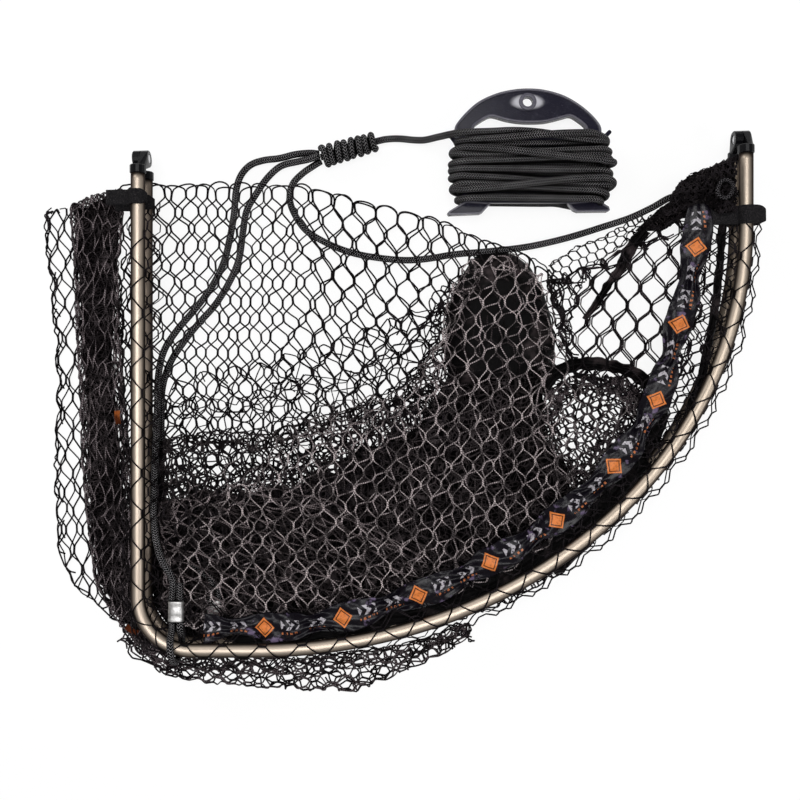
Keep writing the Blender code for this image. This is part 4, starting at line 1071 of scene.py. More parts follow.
@dataclass
class BridleLeg:
    """One leg of the bridle with its ferrule, its loop round the tube and its tail."""

    name: str
    half: Half
    knot_offset: Vector
    route: list
    tube_point: Vector
    along: Vector
    reach: float
    skew: float = 0.0
    rope: Finish = BraidedRope()
    metal: Finish = CrimpedSilver()

    def across(self) -> Vector:
        """Level direction square to the ferrule."""
        return Vector((-self.along.y, self.along.x, 0))

    def centre(self) -> Vector:
        """Middle of the ferrule."""
        return self.tube_point - self.along * self.reach

    def face(self) -> Vector:
        """Middle of the ferrule's far face."""
        return self.centre() - self.along * (FERRULE_LENGTH / 2 + 2 * CLEARANCE)

    def leg_path(self) -> list[Vector]:
        """The leg's route from the ferrule to the knot."""
        face = self.face() - self.across() * LOOP_SPREAD
        start = KNOT_LEFT - KNOT_AXIS * 0.5 * MM + self.knot_offset
        points = [start] + millimetres(self.route) + [face - self.along * 3 * ROPE_D, face]
        return smooth_route(points, 0.0025)[::-1]

    def loop_path(self) -> list[Vector]:
        """The loop's route from the ferrule round the tube and back."""
        across = self.across()
        room = TUBE_OD / 2 / math.cos(self.skew) + LOOP_SPREAD * math.tan(self.skew)
        radius = room + ROPE_D / 2 + CLEARANCE + 0.0007
        start = self.reach - FERRULE_LENGTH / 2 - 2 * CLEARANCE
        going = [
            self.tube_point - self.along * start - across * LOOP_SPREAD,
            self.tube_point - self.along * (start - ROPE_D) - across * LOOP_SPREAD,
        ]
        back = [point + across * 2 * LOOP_SPREAD for point in going[::-1]]
        neck = math.radians(38)
        circle = []
        for k in range(14):
            share = k / 13
            angle = neck + (2 * math.pi - 2 * neck) * share
            circle.append(
                self.tube_point - self.along * radius * math.cos(angle)
                + across * LOOP_SPREAD * (2 * share - 1) + Vector((0, 0, radius * math.sin(angle))))
        return smooth_route(going + circle + back, 0.002)

    def tail_path(self) -> list[Vector]:
        """The cut tail's route beside the leg."""
        across = self.across()
        face = self.face()
        return smooth_route([
            face + across * LOOP_SPREAD,
            face + across * LOOP_SPREAD * 0.97 - self.along * 0.010,
            face + across * LOOP_SPREAD * 0.97 - self.along * 0.017], 0.002)

    def ferrule(self) -> bpy.types.Object:
        """Crimped oval sleeve with two pinched rings, a seam and rounded lips."""
        stations = [
            (-0.5, 0.5), (-0.485, 0.15), (-0.46, 0.0), (-0.40, 0.0), (-0.33, 0.55), (-0.27, 1.0),
            (-0.20, 1.0), (-0.14, 0.55), (-0.08, 0.0), (0.08, 0.0), (0.14, 0.55), (0.20, 1.0),
            (0.27, 1.0), (0.33, 0.55), (0.40, 0.0), (0.46, 0.0), (0.485, 0.15), (0.5, 0.5),
        ]
        across, rings = self.across(), []
        for share, pinch in stations:
            radius = 0.0046 - pinch * 0.0003
            ring = []
            for k in range(32):
                angle = 2 * math.pi * (k + 0.5) / 32
                side = math.copysign(0.00315, math.cos(angle)) + radius * math.cos(angle)
                height = radius * math.sin(angle)
                if height > 0:
                    height -= 0.0005 * math.exp(-((side - 0.0006) / 0.0005) ** 2)
                ring.append(self.centre() + self.along * share * FERRULE_LENGTH + across * side
                            + Vector((0, 0, height)))
            rings.append(ring)
        item = from_bmesh("ferrule_drawn_" + self.name, loft(rings), 60)
        return dress(item, self.metal, self.half, ["ferrule_" + self.name])

    def build(self, knot: Sequence[bpy.types.Object] = ()) -> None:
        """Args:
            knot: The knot, where this leg is the one that names it. Not used.
        """
        path = self.leg_path()
        leg = strands("leg_" + self.name, [path], ROPE_D / 2, 16)
        blended = self.half is Half.FRONT
        dress(leg, self.rope, None if blended else self.half, ["bridle_leg_" + self.name])
        for kind, way, share in (("loop", self.loop_path(), 1.0), ("tail", self.tail_path(), 0.97)):
            end = strands(f"{kind}_{self.name}", [way], ROPE_D / 2 * share, 16)
            dress(end, self.rope, self.half, [f"bridle_{kind}_{self.name}"])
        self.ferrule()
        if blended:
            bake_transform(leg)


@dataclass
class Bridle:
    """Three legs and the knot that joins them; the spread parts them at the knot."""

    wrap: float = 0.0066
    pitch: float = 0.0073
    spread: float = 0.0041
    rope: Finish = BraidedRope()

    def knot(self) -> bpy.types.Object:
        """Barrel of wraps, one strand that climbs round the ropes and tucks its ends under."""
        length = (KNOT_RIGHT - KNOT_LEFT).length - self.wrap
        radius = (ROPE_D / 2 + self.wrap / 2 + CLEARANCE) / math.cos(math.pi / 8)
        points = []
        count = round(length / self.pitch * 24)
        for k in range(count + 1):
            angle = 2 * math.pi * k / 24
            swell = radius * (1.16 - 0.22 * k / count + 0.04 * math.sin(3 * angle / 5))
            along = self.wrap / 2 + length * k / count + 0.0006 * math.sin(angle * 0.61)
            along += 0.0026 * math.cos(angle) * math.sin(math.pi * k / count) ** 0.4
            points.append(
                KNOT_LEFT + KNOT_AXIS * along + KNOT_ACROSS * swell * math.cos(angle)
                + Vector((0, 0, max(swell * math.sin(angle), self.wrap / 2 + 0.0002 - KNOT_LEFT.z))))
        item = strands("knot_wraps", [points], self.wrap / 2, 14)
        return dress(item, self.rope, Half.REAR, ["bridle_knot"])

    def build(self) -> None:
        """Build the knot and the legs."""
        knot = self.knot()
        lean = math.radians(253.2)
        corner = Vector((LEFT_X + CORNER_RADIUS, CORNER_Y, FRONT_Z))
        front_point = corner + Vector((math.cos(lean), math.sin(lean), 0)) * CORNER_RADIUS
        down = Vector((0, -1, 0))
        low = Vector((0, 0, 0.1 * self.spread))
        BridleLeg("front", Half.FRONT, KNOT_ACROSS * self.spread - low, LEG_FRONT_ROUTE,
                  front_point, down, 0.0372, math.radians(270) - lean).build()
        BridleLeg("rear", Half.REAR, Vector((0, 0, 1.7 * self.spread)), LEG_REAR_ROUTE,
                  Vector((-0.185, BOTTOM_Y, REAR_Z)), down, 0.034).build([knot])
        BridleLeg("tip", Half.REAR, -KNOT_ACROSS * self.spread - low, LEG_TIP_ROUTE,
                  Vector((RIGHT_X, 0.207, REAR_Z)), Vector((1, 0, 0)), 0.034).build()


# The ropes' routes from the knot, in millimetres
LEG_FRONT_ROUTE = [
    (-88, 251, 9), (-103, 250, 7.5), (-120, 246, 7), (-136, 244, 7), (-150, 239, 7),
    (-160, 228, 7), (-165, 212, 7), (-167, 189, 7), (-171, 165, 7), (-178, 137, 7),
    (-191, 111, 7), (-209, 87, 8), (-226, 66, 11), (-238, 45, 15), (-243, 20, 18),
    (-243, -10, 22), (-243, -45, 27), (-243, -85, 33), (-242, -125, 40), (-235, -160, 45),
]
LEG_REAR_ROUTE = [
    (-88, 243, 15), (-101, 242, 9), (-118, 238, 7), (-132, 226, 7), (-144, 209, 7),
    (-154, 191, 7), (-158, 168, 7), (-162, 141, 7), (-172, 117, 7), (-187, 93, 7),
    (-204, 74, 7), (-220, 54, 7), (-234, 32, 7), (-242, 5, 7), (-243, -30, 7),
    (-243, -75, 7), (-242, -120, 8), (-232, -150, 11), (-210, -176, 16),
]
LEG_TIP_ROUTE = [
    (-84, 238, 8), (-96, 230, 7), (-106, 219, 7), (-109, 204, 7), (-104, 188, 7),
    (-92, 171, 7), (-73, 159, 7), (-52, 150, 7), (-28, 144, 7), (6, 140, 7),
    (32, 141, 7), (64, 146, 7), (99, 149, 7), (140, 154, 7), (180, 163, 7),
    (219, 175, 7), (246, 184, 7), (268, 194, 10),
]
MAIN_ROPE_ROUTE = [
    (-47, 254.5, 11), (-17, 263, 11), (-6, 265.6, 9), (6, 266.8, 6), (20, 266, 4.2),
    (32, 265.2, 7), (46, 265, 19), (67.6, 264.1, 36.8),
]


# The winder and its line


@dataclass
class WoundLine:
    """The main rope: from the knot to the winder, then round it in two layers.

    A turn of the outer layer runs from its left slot to its right slot over the top. Where two
    turns change places, one passes over the other in a low hump and stands out at the end.
    """

    half_width: float = 0.0815
    half_thickness: float = 0.0165
    top: float = 0.0131
    bottom: float = -0.0565
    inner_turns: float = 8.5
    left_slots: tuple = (0.0, 1.0, 3.1, 2.0, 4.0, 5.0, 6.0, 8.1, 7.0, 9.0)
    right_slots: tuple = (1.1, 0.0, 2.1, 4.1, 3.0, 5.2, 7.1, 6.0, 8.1, 9.0)
    lifts: tuple = (0.0, 0.0058, 0.0, 0.0064, 0.0, 0.0, 0.0, 0.0064, 0.0, 0.0)
    stands: tuple = (0.0, 0.0045, 0.0, 0.0048, 0.001, 0.0, 0.0010, 0.0048, 0.0, 0.0)
    rope: Finish = BraidedRope()

    def width_at(self, y: float) -> float:
        """Half width of the winding's centreline, drawn in towards its two ends."""
        middle = (self.top + self.bottom) / 2
        share = (y - middle) / ((self.top - self.bottom) / 2)
        return self.half_width * (1 - 0.15 * min(1.0, abs(share)) ** 4)

    @staticmethod
    def oval(turn: float, half_width: float, radius: float) -> tuple[float, float]:
        """Point of a flat oval: a third of a turn for each round end, a sixth for each run."""
        share = turn % 1.0
        run = half_width - radius
        if share < 1 / 3:
            angle = -0.5 * math.pi + 3 * math.pi * share
            return run + radius * math.cos(angle), radius * math.sin(angle)
        if share < 1 / 2:
            return run * (1 - 12 * (share - 1 / 3)), radius
        if share < 5 / 6:
            angle = 0.5 * math.pi + 3 * math.pi * (share - 1 / 2)
            return -run + radius * math.cos(angle), radius * math.sin(angle)
        return run * (-1 + 12 * (share - 5 / 6)), -radius

    @property
    def outer_turns(self) -> float:
        """How many turns the outer layer has."""
        return len(self.left_slots) - 0.5

    def outer(self) -> list[Vector]:
        """The outer layer, from the top of the left end."""
        pitch = (self.top - self.bottom) / self.outer_turns
        keys, lifts, stands = [], [], []
        for number, slots in enumerate(zip(self.left_slots, self.right_slots)):
            lift, stand = self.lifts[number], self.stands[number]
            keys += [(number, slots[0]), (number + 1 / 6, slots[1]), (number + 1 / 2, number + 0.45),
                     (number + 2 / 3, number + 0.6)]
            lifts += [(number, 0), (number + 0.035, lift), (number + 0.13, lift),
                      (number + 1 / 6, lift * 0.5), (number + 0.26, 0)]
            stands += [(number + 0.10, 0), (number + 0.25, stand), (number + 0.42, stand * 0.4),
                       (number + 0.5, 0), (number + 2 / 3, 0)]
        turns = np.linspace(0, self.outer_turns, round(self.outer_turns * 48) + 1)
        slot = np.interp(turns, *zip(*keys))
        lift = np.interp(turns, *zip(*lifts))
        stand = np.interp(turns, *zip(*stands))
        soft = np.ones(5) / 5
        padded = [np.convolve(np.pad(row, 2, "edge"), soft, "valid") for row in (slot, lift, stand)]
        points = []
        for turn, row, up, out in zip(turns, *padded):
            y = self.top - pitch * row
            if turn < 1 / 6:
                y += 0.0050 * math.sin(6 * math.pi * turn)
            wave = noise.noise(Vector((turn * 5.3, 1.7, 0)))
            x, z = self.oval(0.5 - turn, self.width_at(y) + out, self.half_thickness)
            if z > 0:
                z += up * z / self.half_thickness + 0.0006 * wave
            points.append(WINDER + Vector((x, y + 0.0012 * wave, z + 0.0002)))
        return points

    def inner(self) -> list[Vector]:
        """The inner layer, from the bottom of the left end back to the top."""
        start, end = self.bottom + 0.003, self.top - 0.002
        points = []
        count = round(self.inner_turns * 48)
        for k in range(count + 1):
            turn = 0.5 - self.outer_turns - self.inner_turns * k / count
            y = start + (end - start) * k / count
            x, z = self.oval(turn, self.width_at(y) - 0.0072, self.half_thickness - 0.0071)
            points.append(WINDER + Vector((x, y, z)))
        return points

    def path(self) -> list[Vector]:
        """The whole rope's centreline, from the knot to its end inside the winding."""
        lead = [KNOT_LEFT + KNOT_AXIS * 0.5 * MM] + millimetres(MAIN_ROPE_ROUTE)
        return smooth_route(lead + self.outer()[1:] + self.inner()[2:], 0.0030)

    def build(self) -> None:
        path = self.path()
        rope = strands("wound_line", [path], ROPE_D / 2, 14)
        dress(rope, self.rope, Half.REAR, ["main_rope", "rope_winding", "rope_winding_core"])


# The winder's outlines, as places in the picture's frame, and its lens about the hang hole
ARCH_SEEN = [
    (463, 145), (457, 140), (454.5, 131), (456.5, 124), (467.5, 111.2), (480, 101.2),
    (497.5, 93.5), (515, 89.8), (530, 89), (545, 90.5), (562.5, 95.5), (577.5, 103.7),
    (590, 113.7), (598.7, 123.7), (601.2, 131), (599, 140), (593, 145),
]
WINDOW_SEEN = [
    (473, 131), (475, 126), (483.7, 120), (490, 117.2), (496, 118), (504, 120.4), (515, 122.5),
    (527, 123.4), (542, 123), (552, 121.2), (562, 118.6), (570, 117), (577.5, 121.2),
    (584, 126.5), (586, 131),
]
LENS_SHAPE = [
    (-18.5, -1.5, 0), (-12, 5, 0), (-5, 8.6, 0), (2, 9, 0), (10, 5.5, 0), (17, -1, 0),
    (9, -7, 0), (1, -10, 0), (-6, -9.6, 0), (-13, -6.2, 0), (-18.5, -1.5, 0),
]
BODY_SEEN = [(460, 145), (596, 145), (596, 203), (460, 203)]
FEET_SEEN = [
    [(466, 201), (449, 211.5), (447, 214), (448.5, 215.5), (479, 214.2), (482, 213), (491, 203)],
    [(567, 203), (573, 210.5), (577, 212.2), (607, 211.8), (609.5, 210.5), (608.5, 207), (597, 200)],
]
HORNS_SEEN = [[(447.6, 132.6), (457.5, 143)], [(610.4, 131.0), (599, 143)]]
HORN_PROFILE = [
    (0, -0.001), (0.0016, -0.0006), (0.0022, 0.0004), (0.0022, 0.006), (0.0028, 0.012),
    (0.0030, 0.016), (0, 0.016),
]


@dataclass
class LineWinder:
    """The moulded winder: an arched grip with raised rims, a hang hole, horns and framed feet."""

    thickness: float = 0.0090
    rim: float = 0.0026
    recess: float = 0.0024
    hole: float = 0.0050
    boss: float = 0.0090
    # The lens round the hang hole carries a painted highlight, given by its centre
    plastic: Finish = GlossPlastic(
        colour=(0.013, 0.012, 0.023), worn=(0.07, 0.07, 0.10), roughness=0.15, gloss=0.14,
        painted_highlight=(WINDER.x + WINDER_HOLE.x, WINDER.y + WINDER_HOLE.y))
    # Painted highlight: a paler copy of the plastic for the rims, the boss and the feet's frames,
    # standing in for the lamps' glints along their edges
    painted_highlight: Finish = GlossPlastic(
        colour=(0.090, 0.085, 0.110), worn=(0.26, 0.25, 0.30), roughness=0.16)

    def placed(self, seen: Sequence[tuple[float, float]]) -> list[Vector]:
        """Turn places in the picture's frame into points about the winder's centre."""
        return [Vector((x, y, 0)) * MM - Vector((WINDER.x, WINDER.y, 0))
                for x, y in seen_at(seen, WINDER_LEVEL)]

    @staticmethod
    def inset(outline: Sequence[Vector], by: float) -> list[Vector]:
        """Draw a closed outline inwards; a negative amount draws it outwards."""
        count = len(outline)
        area = sum(a.x * b.y - b.x * a.y for a, b in zip(outline, [*outline[1:], outline[0]]))
        result = []
        for k, point in enumerate(outline):
            before = (point - outline[k - 1]).normalized()
            after = (outline[(k + 1) % count] - point).normalized()
            ahead = (before + after).normalized()
            inward = Vector((-ahead.y, ahead.x, 0)) * math.copysign(1, area)
            result.append(point + inward * by / max(0.5, ahead.dot(after)))
        return result

    def plate(self, outlines: Sequence[Sequence[Vector]], half: float, edge: float) -> bpy.types.Mesh:
        """A plate with rounded edges; outlines after the first are holes in it."""
        data = bpy.data.curves.new("winder_plate", "CURVE")
        data.dimensions = "2D"
        data.fill_mode = "BOTH"
        data.extrude = half - edge
        data.bevel_depth = edge
        data.bevel_resolution = 3
        for number, outline in enumerate(outlines):
            drawn = self.inset(outline, -edge if number else edge)
            spline = data.splines.new("POLY")
            spline.points.add(len(drawn) - 1)
            for point, place in zip(spline.points, drawn):
                point.co = (*place, 1)
            spline.use_cyclic_u = True
        return baked(data)

    def plates(self) -> list[tuple[list, float, float, bool]]:
        """The plates: outlines, half of the thickness, edge radius, and whether it is a rim."""
        half = self.thickness / 2
        low = half - self.recess
        arch = smooth_route(self.placed(ARCH_SEEN), 0.0015)
        window = smooth_route(self.placed(WINDOW_SEEN), 0.0015)
        hole = [WINDER_HOLE + Vector((math.cos(a), math.sin(a), 0)) * self.hole
                for a in np.linspace(0, 2 * math.pi, 40, endpoint=False)]
        boss = [WINDER_HOLE + (point - WINDER_HOLE) * (self.boss / self.hole) for point in hole]
        lens = smooth_route([WINDER_HOLE + point for point in millimetres(LENS_SHAPE)], 0.0015)[:-1]
        plates = [
            ([arch, window, hole], low, 0.0004, False),
            ([arch, self.inset(arch, self.rim)], half, 0.00125, True),
            ([self.inset(window, -self.rim), window], half, 0.00125, True),
            ([lens, hole], low + 0.0007, 0.0006, False),
            ([boss, hole], half, 0.0011, True),
            ([self.placed(BODY_SEEN)], half - 0.002, 0.0006, False),
        ]
        for seen in FEET_SEEN:
            foot = self.placed(seen)
            plates += [([foot], low, 0.0005, False),
                       ([foot, self.inset(foot, 0.0019)], half, 0.0007, True)]
        return plates

    def build(self) -> None:
        """Build the winder from plates, rims, the boss, feet and horns."""
        bm = bmesh.new()
        meshes = []
        for outlines, half, edge, rim in self.plates():
            mesh = self.plate(outlines, half, edge)
            # Rims take the second material, the paler painted-highlight copy
            mesh.polygons.foreach_set("material_index", [int(rim)] * len(mesh.polygons))
            meshes.append(mesh)
        for ends in HORNS_SEEN:
            tip, root = self.placed(ends)
            turn = (root - tip).to_track_quat("Z", "Y").to_matrix().to_4x4()
            meshes.append(meshed(
                "winder_horn", lathe(HORN_PROFILE, 16, Matrix.Translation(tip) @ turn)))
        for mesh in meshes:
            bm.from_mesh(mesh)
            bpy.data.meshes.remove(mesh)
        bmesh.ops.translate(bm, vec=WINDER, verts=bm.verts)
        item = from_bmesh("winder_moulding", bm, 8)
        dress(item, self.plastic, Half.REAR, ["line_winder"])
        item.data.materials.append(self.painted_highlight.material())


# Straps and ribbons


@dataclass
class TubeStrap:
    """Hook-and-loop strap closed round a tube, with its two tails laid flat.

    The opening is the half angle, in radians, at which the strap leaves the tube.
    """

    name: str
    half: Half
    centre: Vector
    tail: float
    tail_side: int
    slack: float = 0.0
    width: float = 0.015
    thickness: float = 0.0018
    opening: float = 0.16
    pile: Finish = LoopPile()

    def line(self) -> list[Vector]:
        """The strap's run seen from its edge: tail, once round the tube, and back on itself."""
        radius = TUBE_OD / 2 + CLEARANCE + self.thickness / 2
        side = self.tail_side
        shares = [k / 8 for k in range(9)]
        points = [
            Vector((side * (radius + self.tail * share), 0,
                    self.thickness * 0.6 + 0.0008 * math.sin(5 * share)))
            for share in reversed(shares)]
        for k in range(33):
            angle = self.opening + (2 * math.pi - 2 * self.opening) * k / 32
            reach = radius + (self.slack if math.cos(angle) < 0 else 0)
            points.append(Vector((side * reach * math.cos(angle), 0, radius * math.sin(angle))))
        points += [
            Vector((side * (radius + self.tail * share * 0.93), 0,
                    -self.thickness * 0.6 - 0.0006 * math.sin(4 * share)))
            for share in shares]
        return even_steps(points, 0.0012)

    def build(self) -> None:
        """Build the strap as a woven band."""
        line = self.line()

        def placer(along: float, across: float) -> Vector:
            """Place a point of the strap."""
            point = follow(line, along)[0]
            wave = noise.noise(Vector((point.x * 60, across * 2, self.centre.y * 9))) * 0.0006
            beyond = -self.tail_side * point.x / (TUBE_OD / 2 + self.slack + 0.002)
            wide = self.width * (1 - 0.45 * max(0.0, beyond - 0.45) ** 2 / 0.3)
            return self.centre + point + Vector((0, (across - 0.5) * wide, wave))

        length = run_length(line)
        item = band("strap_drawn_" + self.name, (len(line) - 1, 6), placer, length)
        thicken(item, self.thickness)
        soften(item, 0.0004)
        dress(item, self.pile, self.half, ["strap_" + self.name])


# The ribbon's route along the front tube, in millimetres
RIBBON_PATH = [
    (-190, -235, 0), (-148, -235, 0), (-105, -232.5, 0), (-62, -226, 0), (-21, -216, 0),
    (20, -202.5, 0), (59, -186, 0), (98, -167.5, 0), (135, -146, 0), (170, -121, 0),
    (203, -91, 0), (230, -61, 0), (251, -30, 0), (267, 7, 0), (280, 48, 0), (291, 90, 0),
    (299, 132, 0), (303, 158, 0.5), (303.5, 171, 3.5), (302.5, 184, 5.5), (301, 193, 5.5),
]


@dataclass
class HemRibbon:
    """Printed satin ribbon along the inside of the front tube, rippled by the net's pull."""

    width: float = 0.030
    level: float = FRONT_Z
    ripple: float = 0.0046
    satin: Finish = PrintedSatin()

    def build(self) -> None:
        """Build the ribbon as a rippled band."""
        route = smooth_route(millimetres(RIBBON_PATH), 0.0025)
        length = run_length(route)

        def placer(along: float, across: float) -> Vector:
            """Place a point of the ribbon."""
            point, inward = follow(route, along)
            metres, side = along * length, across - 0.5
            turn = 2 * math.pi * metres / PRINT_REPEAT
            wave = math.sin(turn + 1.2) * 0.6
            wave += noise.noise(Vector((metres * 38, side * 1.5, 2.0))) * 1.1
            fold = noise.noise(Vector((metres * 80 + side * 2.2, side * 2.4, 7.0))) * 0.8
            pinch = (0.5 + 0.5 * math.sin(turn - 0.9)) ** 2
            squeeze = (1 - 0.40 * pinch) * (
                1 - 0.10 * abs(noise.noise(Vector((metres * 31, 4.0, 1.0)))))
            drift = noise.noise(Vector((metres * 14, 3.0, 9.0))) * 0.0022
            curl = -0.0030 * (2 * side) ** 2
            calm = 1 - 0.8 * min(1.0, point.z / 0.004)
            pleat = math.sin(2 * math.pi * (across * 2.6 + 0.8 * math.sin(metres * 45))) * 0.0021
            height = (self.ripple * (wave * (0.45 + abs(side)) + fold) + curl + pleat * (
                0.25 + pinch)) * calm
            return point + inward * (side * self.width * squeeze + drift) + Vector(
                (0, 0, self.level + height))

        item = band("hem_ribbon_drawn", (round(length / 0.0020), 24), placer, length)
        thicken(item, 0.0006)
        dress(item, self.satin, Half.FRONT, ["hem_ribbon_front"])


@dataclass
class FoldedBand:
    """A ribbon or hem drawn together along a line, with folds that run along it."""

    name: str
    route: list
    width: float
    half: Half = Half.REAR
    folds: float = 2.2
    depth: float = 3.2
    ragged: float = 0.5
    taper: float = 1.0
    seed: float = 1.0
    cloth: Finish = PlainSatin()
    replaces: tuple = ()
    rests_on: str = ""

    def build(self) -> None:
        """Build the band along its route, in millimetres."""
        route = smooth_route(millimetres(self.route), 0.0018)
        length = run_length(route)

        def placer(along: float, across: float) -> Vector:
            """Place a point of the band."""
            point, inward = follow(route, along)
            metres = along * length
            edge = noise.noise(Vector((metres * 70, round(across) * 5, self.seed)))
            wide = self.width * MM * (1 - self.ragged * abs(edge)) * (
                1 - (1 - self.taper) * along ** 1.5)
            drift = noise.noise(Vector((metres * 30, self.seed, 3.0))) * 0.15 * self.width * MM
            phase = across * self.folds + 0.7 * noise.noise(Vector((metres * 28, self.seed, 0)))
            swell = 0.7 + 0.5 * noise.noise(Vector((metres * 55, across * 3, self.seed)))
            wave = math.sin(2 * math.pi * phase) * self.depth / 2 * MM * swell
            return point + inward * ((across - 0.5) * wide + drift) + Vector((0, 0, wave))

        item = band(self.name, (len(route) - 1, round(self.folds * 8)), placer, length)
        thicken(item, 0.0007)
        dress(item, self.cloth, self.half, self.replaces)


# Netting


def seen_at(points: Sequence[tuple[float, float]], level: float) -> list[tuple[float, float]]:
    """Turn places in the picture's frame into plan points at a level.

    Args:
        points: Places across and down the 800 by 800 frame.
        level: Their height in millimetres.

    Returns:
        Plan points in millimetres.
    """
    scale = (EYE[2] / MM - level) / FOCAL_PIXELS
    middle = FRAME_PIXELS / 2
    return [((u - middle) * scale + EYE[0] / MM, (middle - v) * scale + EYE[1] / MM)
            for u, v in points]


def zigzags(pitch: float, step: float, pillar: float, gap: float, width: float,
            depth: float, arches: bool) -> list[np.ndarray]:
    """Strands of a net with six-sided meshes, in its own plane.

    Each strand zigzags down the net and lies against its neighbour along every upright.

    Args:
        pitch: Width of a mesh.
        step: From one row of uprights to the next.
        pillar: Length of an upright.
        gap: From strand to strand where two lie together.
        width: Width of the net.
        depth: Depth of the net.
        arches: Whether pairs of strands join in a loop over the top row.

    Returns:
        The strands, each as rows of across and down.
    """
    half, rows = pitch / 2, int(depth / step) + 1
    made = []
    for number in range(int(width / half) + 1):
        points = []
        for row in range(rows):
            partner = 1 if (number + row) % 2 == 0 else -1
            x, y = number * half + partner * (half / 2 - gap / 2), row * step
            points += [(x, y + 0.10 * pillar), (x, y + 0.90 * pillar),
                       (number * half, y + (pillar + step) / 2)]
        made.append(np.array(points))
    if not arches:
        return made
    joined = []
    for first, second in zip(made[1::2], made[2::2]):
        left, right = first[0, 0], second[0, 0]
        middle, reach = (left + right) / 2, (right - left) / 2
        turn = np.linspace(math.pi, 0, 9)[1:-1]
        arch = np.column_stack([middle + reach * np.cos(turn), -0.55 * reach * np.sin(turn)])
        joined.append(np.concatenate([first[::-1], arch, second]))
    return joined


@dataclass
class NetLayer:
    """One layer of netting, laid, folded or crumpled inside an outline.

    The outline, and the top edge that the meshes hang from, are places in the picture's frame
    at a level. Lengths are in millimetres. What lies outside the outline by less than the fold
    is turned back under the layer.
    """

    name: str
    seen: list
    level: float
    seed: float
    pitch: float = 22.5
    step: float = 18.5
    base: float = 1.0
    relief: float = 0.5
    turn: float = 0.0
    half: Half = Half.REAR
    pillar: float = 10.0
    gap: float = 0.7
    stray: float = 3.0
    stray_length: float = 45.0
    crumple: float = 0.0
    thickness: float = 1.75
    fold: float = 30.0
    lift: float = 0.0
    lowest: float | None = None
    top_edge: list | None = None
    rise: Callable[[np.ndarray], np.ndarray] | None = None
    twine: Finish = Twine()
    held: str = "laid"
    replaces: tuple = ()

    def laid_out(self) -> list[np.ndarray]:
        """The strands in the plan, before they stray."""
        corners = np.array(seen_at(self.seen, self.level))
        mesh = self.pitch, self.step, self.pillar, self.gap
        if self.top_edge:
            edge = [Vector((x, y, 0)) for x, y in seen_at(self.top_edge, self.level)]
            edge = np.array(smooth_route(edge, 4.0))[:, :2]
            along = lengths_along(edge)
            low = corners[:, 1].min() - self.fold if self.lowest is None else self.lowest
            return [
                np.column_stack([
                    np.interp(strand[:, 0], along, edge[:, 0]),
                    np.interp(strand[:, 0], along, edge[:, 1]) - strand[:, 1]])
                for strand in zigzags(*mesh, along[-1], edge[:, 1].max() - low, True)]
        angle = math.radians(self.turn)
        turn = np.array([[math.cos(angle), math.sin(angle)], [-math.sin(angle), math.cos(angle)]])
        middle = (corners.min(0) + corners.max(0)) / 2
        own = (corners - middle) @ turn.T
        low, high = own.min(0) - self.fold, own.max(0) + self.fold
        shift = np.array([(self.seed * 0.37) % 1 * self.pitch, (self.seed * 0.71) % 1 * self.step])
        return [(strand + low - shift) @ turn + middle
                for strand in zigzags(*mesh, *(high - low), False)]

    def strayed(self, strand: np.ndarray, outline: Outline) -> tuple[np.ndarray, np.ndarray]:
        """Let a strand wander, turn back what lies outside, and give it its heights.

        Args:
            strand: The strand in the plan, in millimetres.
            outline: The layer's outline.

        Returns:
            The strand's points in metres, and which of them stay.
        """
        flat = np.column_stack([strand * MM, np.full(len(strand), self.seed * 0.01)])
        flat[:, :2] += wobble(flat, self.stray_length * MM, self.seed)[:, :2] * (self.stray * MM)
        if self.crumple:
            flat[:, :2] += wobble(flat, CRUMPLE_LENGTH, self.seed + 9)[:, :2] * (self.crumple * MM)
        deep = outline.depth(flat[:, :2])
        under = np.zeros(len(flat))
        outside = deep < 0
        if outside.any() and self.fold:
            feet = outline.nearest(flat[outside, :2])[0]
            flat[outside, :2] = feet + (feet - flat[outside, :2]) * TURNED_BACK
            under[outside] = 1
        height = self.base * MM + (self.rise(flat[:, :2]) if self.rise else 0)
        height = height + self.relief * MM * (wobble(flat, 26 * MM, self.seed + 3)[:, 2] - under)
        flat[:, 2] = np.maximum(height, self.thickness * MM / 2 + 0.0001)
        if self.lift:
            sag = np.sin(np.clip((flat[:, 0] - LEFT_X) / (RIGHT_X - LEFT_X), 0, 1) * math.pi)
            level = flat[:, 2] + (self.lift - FRONT_SAG * sag) * MM
            spread = (EYE[2] - level) / (EYE[2] - flat[:, 2])
            flat[:, :2] = EYE[:2] + (flat[:, :2] - EYE[:2]) * spread[:, None]
            flat[:, 2] = level
        return flat, deep > -self.fold * MM

    def build(self) -> None:
        """Build the layer's strands and work out the size of its sheet, which is not kept."""
        outline = Outline(seen_at(self.seen, self.level))
        paths = []
        for strand in self.laid_out():
            flat, keep = self.strayed(strand, outline)
            cuts = np.flatnonzero(np.diff(keep.astype(int))) + 1
            paths += [rounded(run) for run, stays in zip(np.split(flat, cuts), np.split(keep, cuts))
                      if stays[0] and len(run) > 2]
        item = strands(self.name, paths, self.thickness * MM / 2)
        dress(item, self.twine, self.half, self.replaces)
        declare_net(paths, self.thickness * MM, self.held, self.half)


def rounded(path: np.ndarray) -> np.ndarray:
    """Cut the corners of a path once; its ends stay."""
    near, far = path[:-1] * 0.84 + path[1:] * 0.16, path[:-1] * 0.16 + path[1:] * 0.84
    cut = np.stack([near, far], 1).reshape(-1, path.shape[1])
    return np.concatenate([path[:1], cut, path[-1:]])


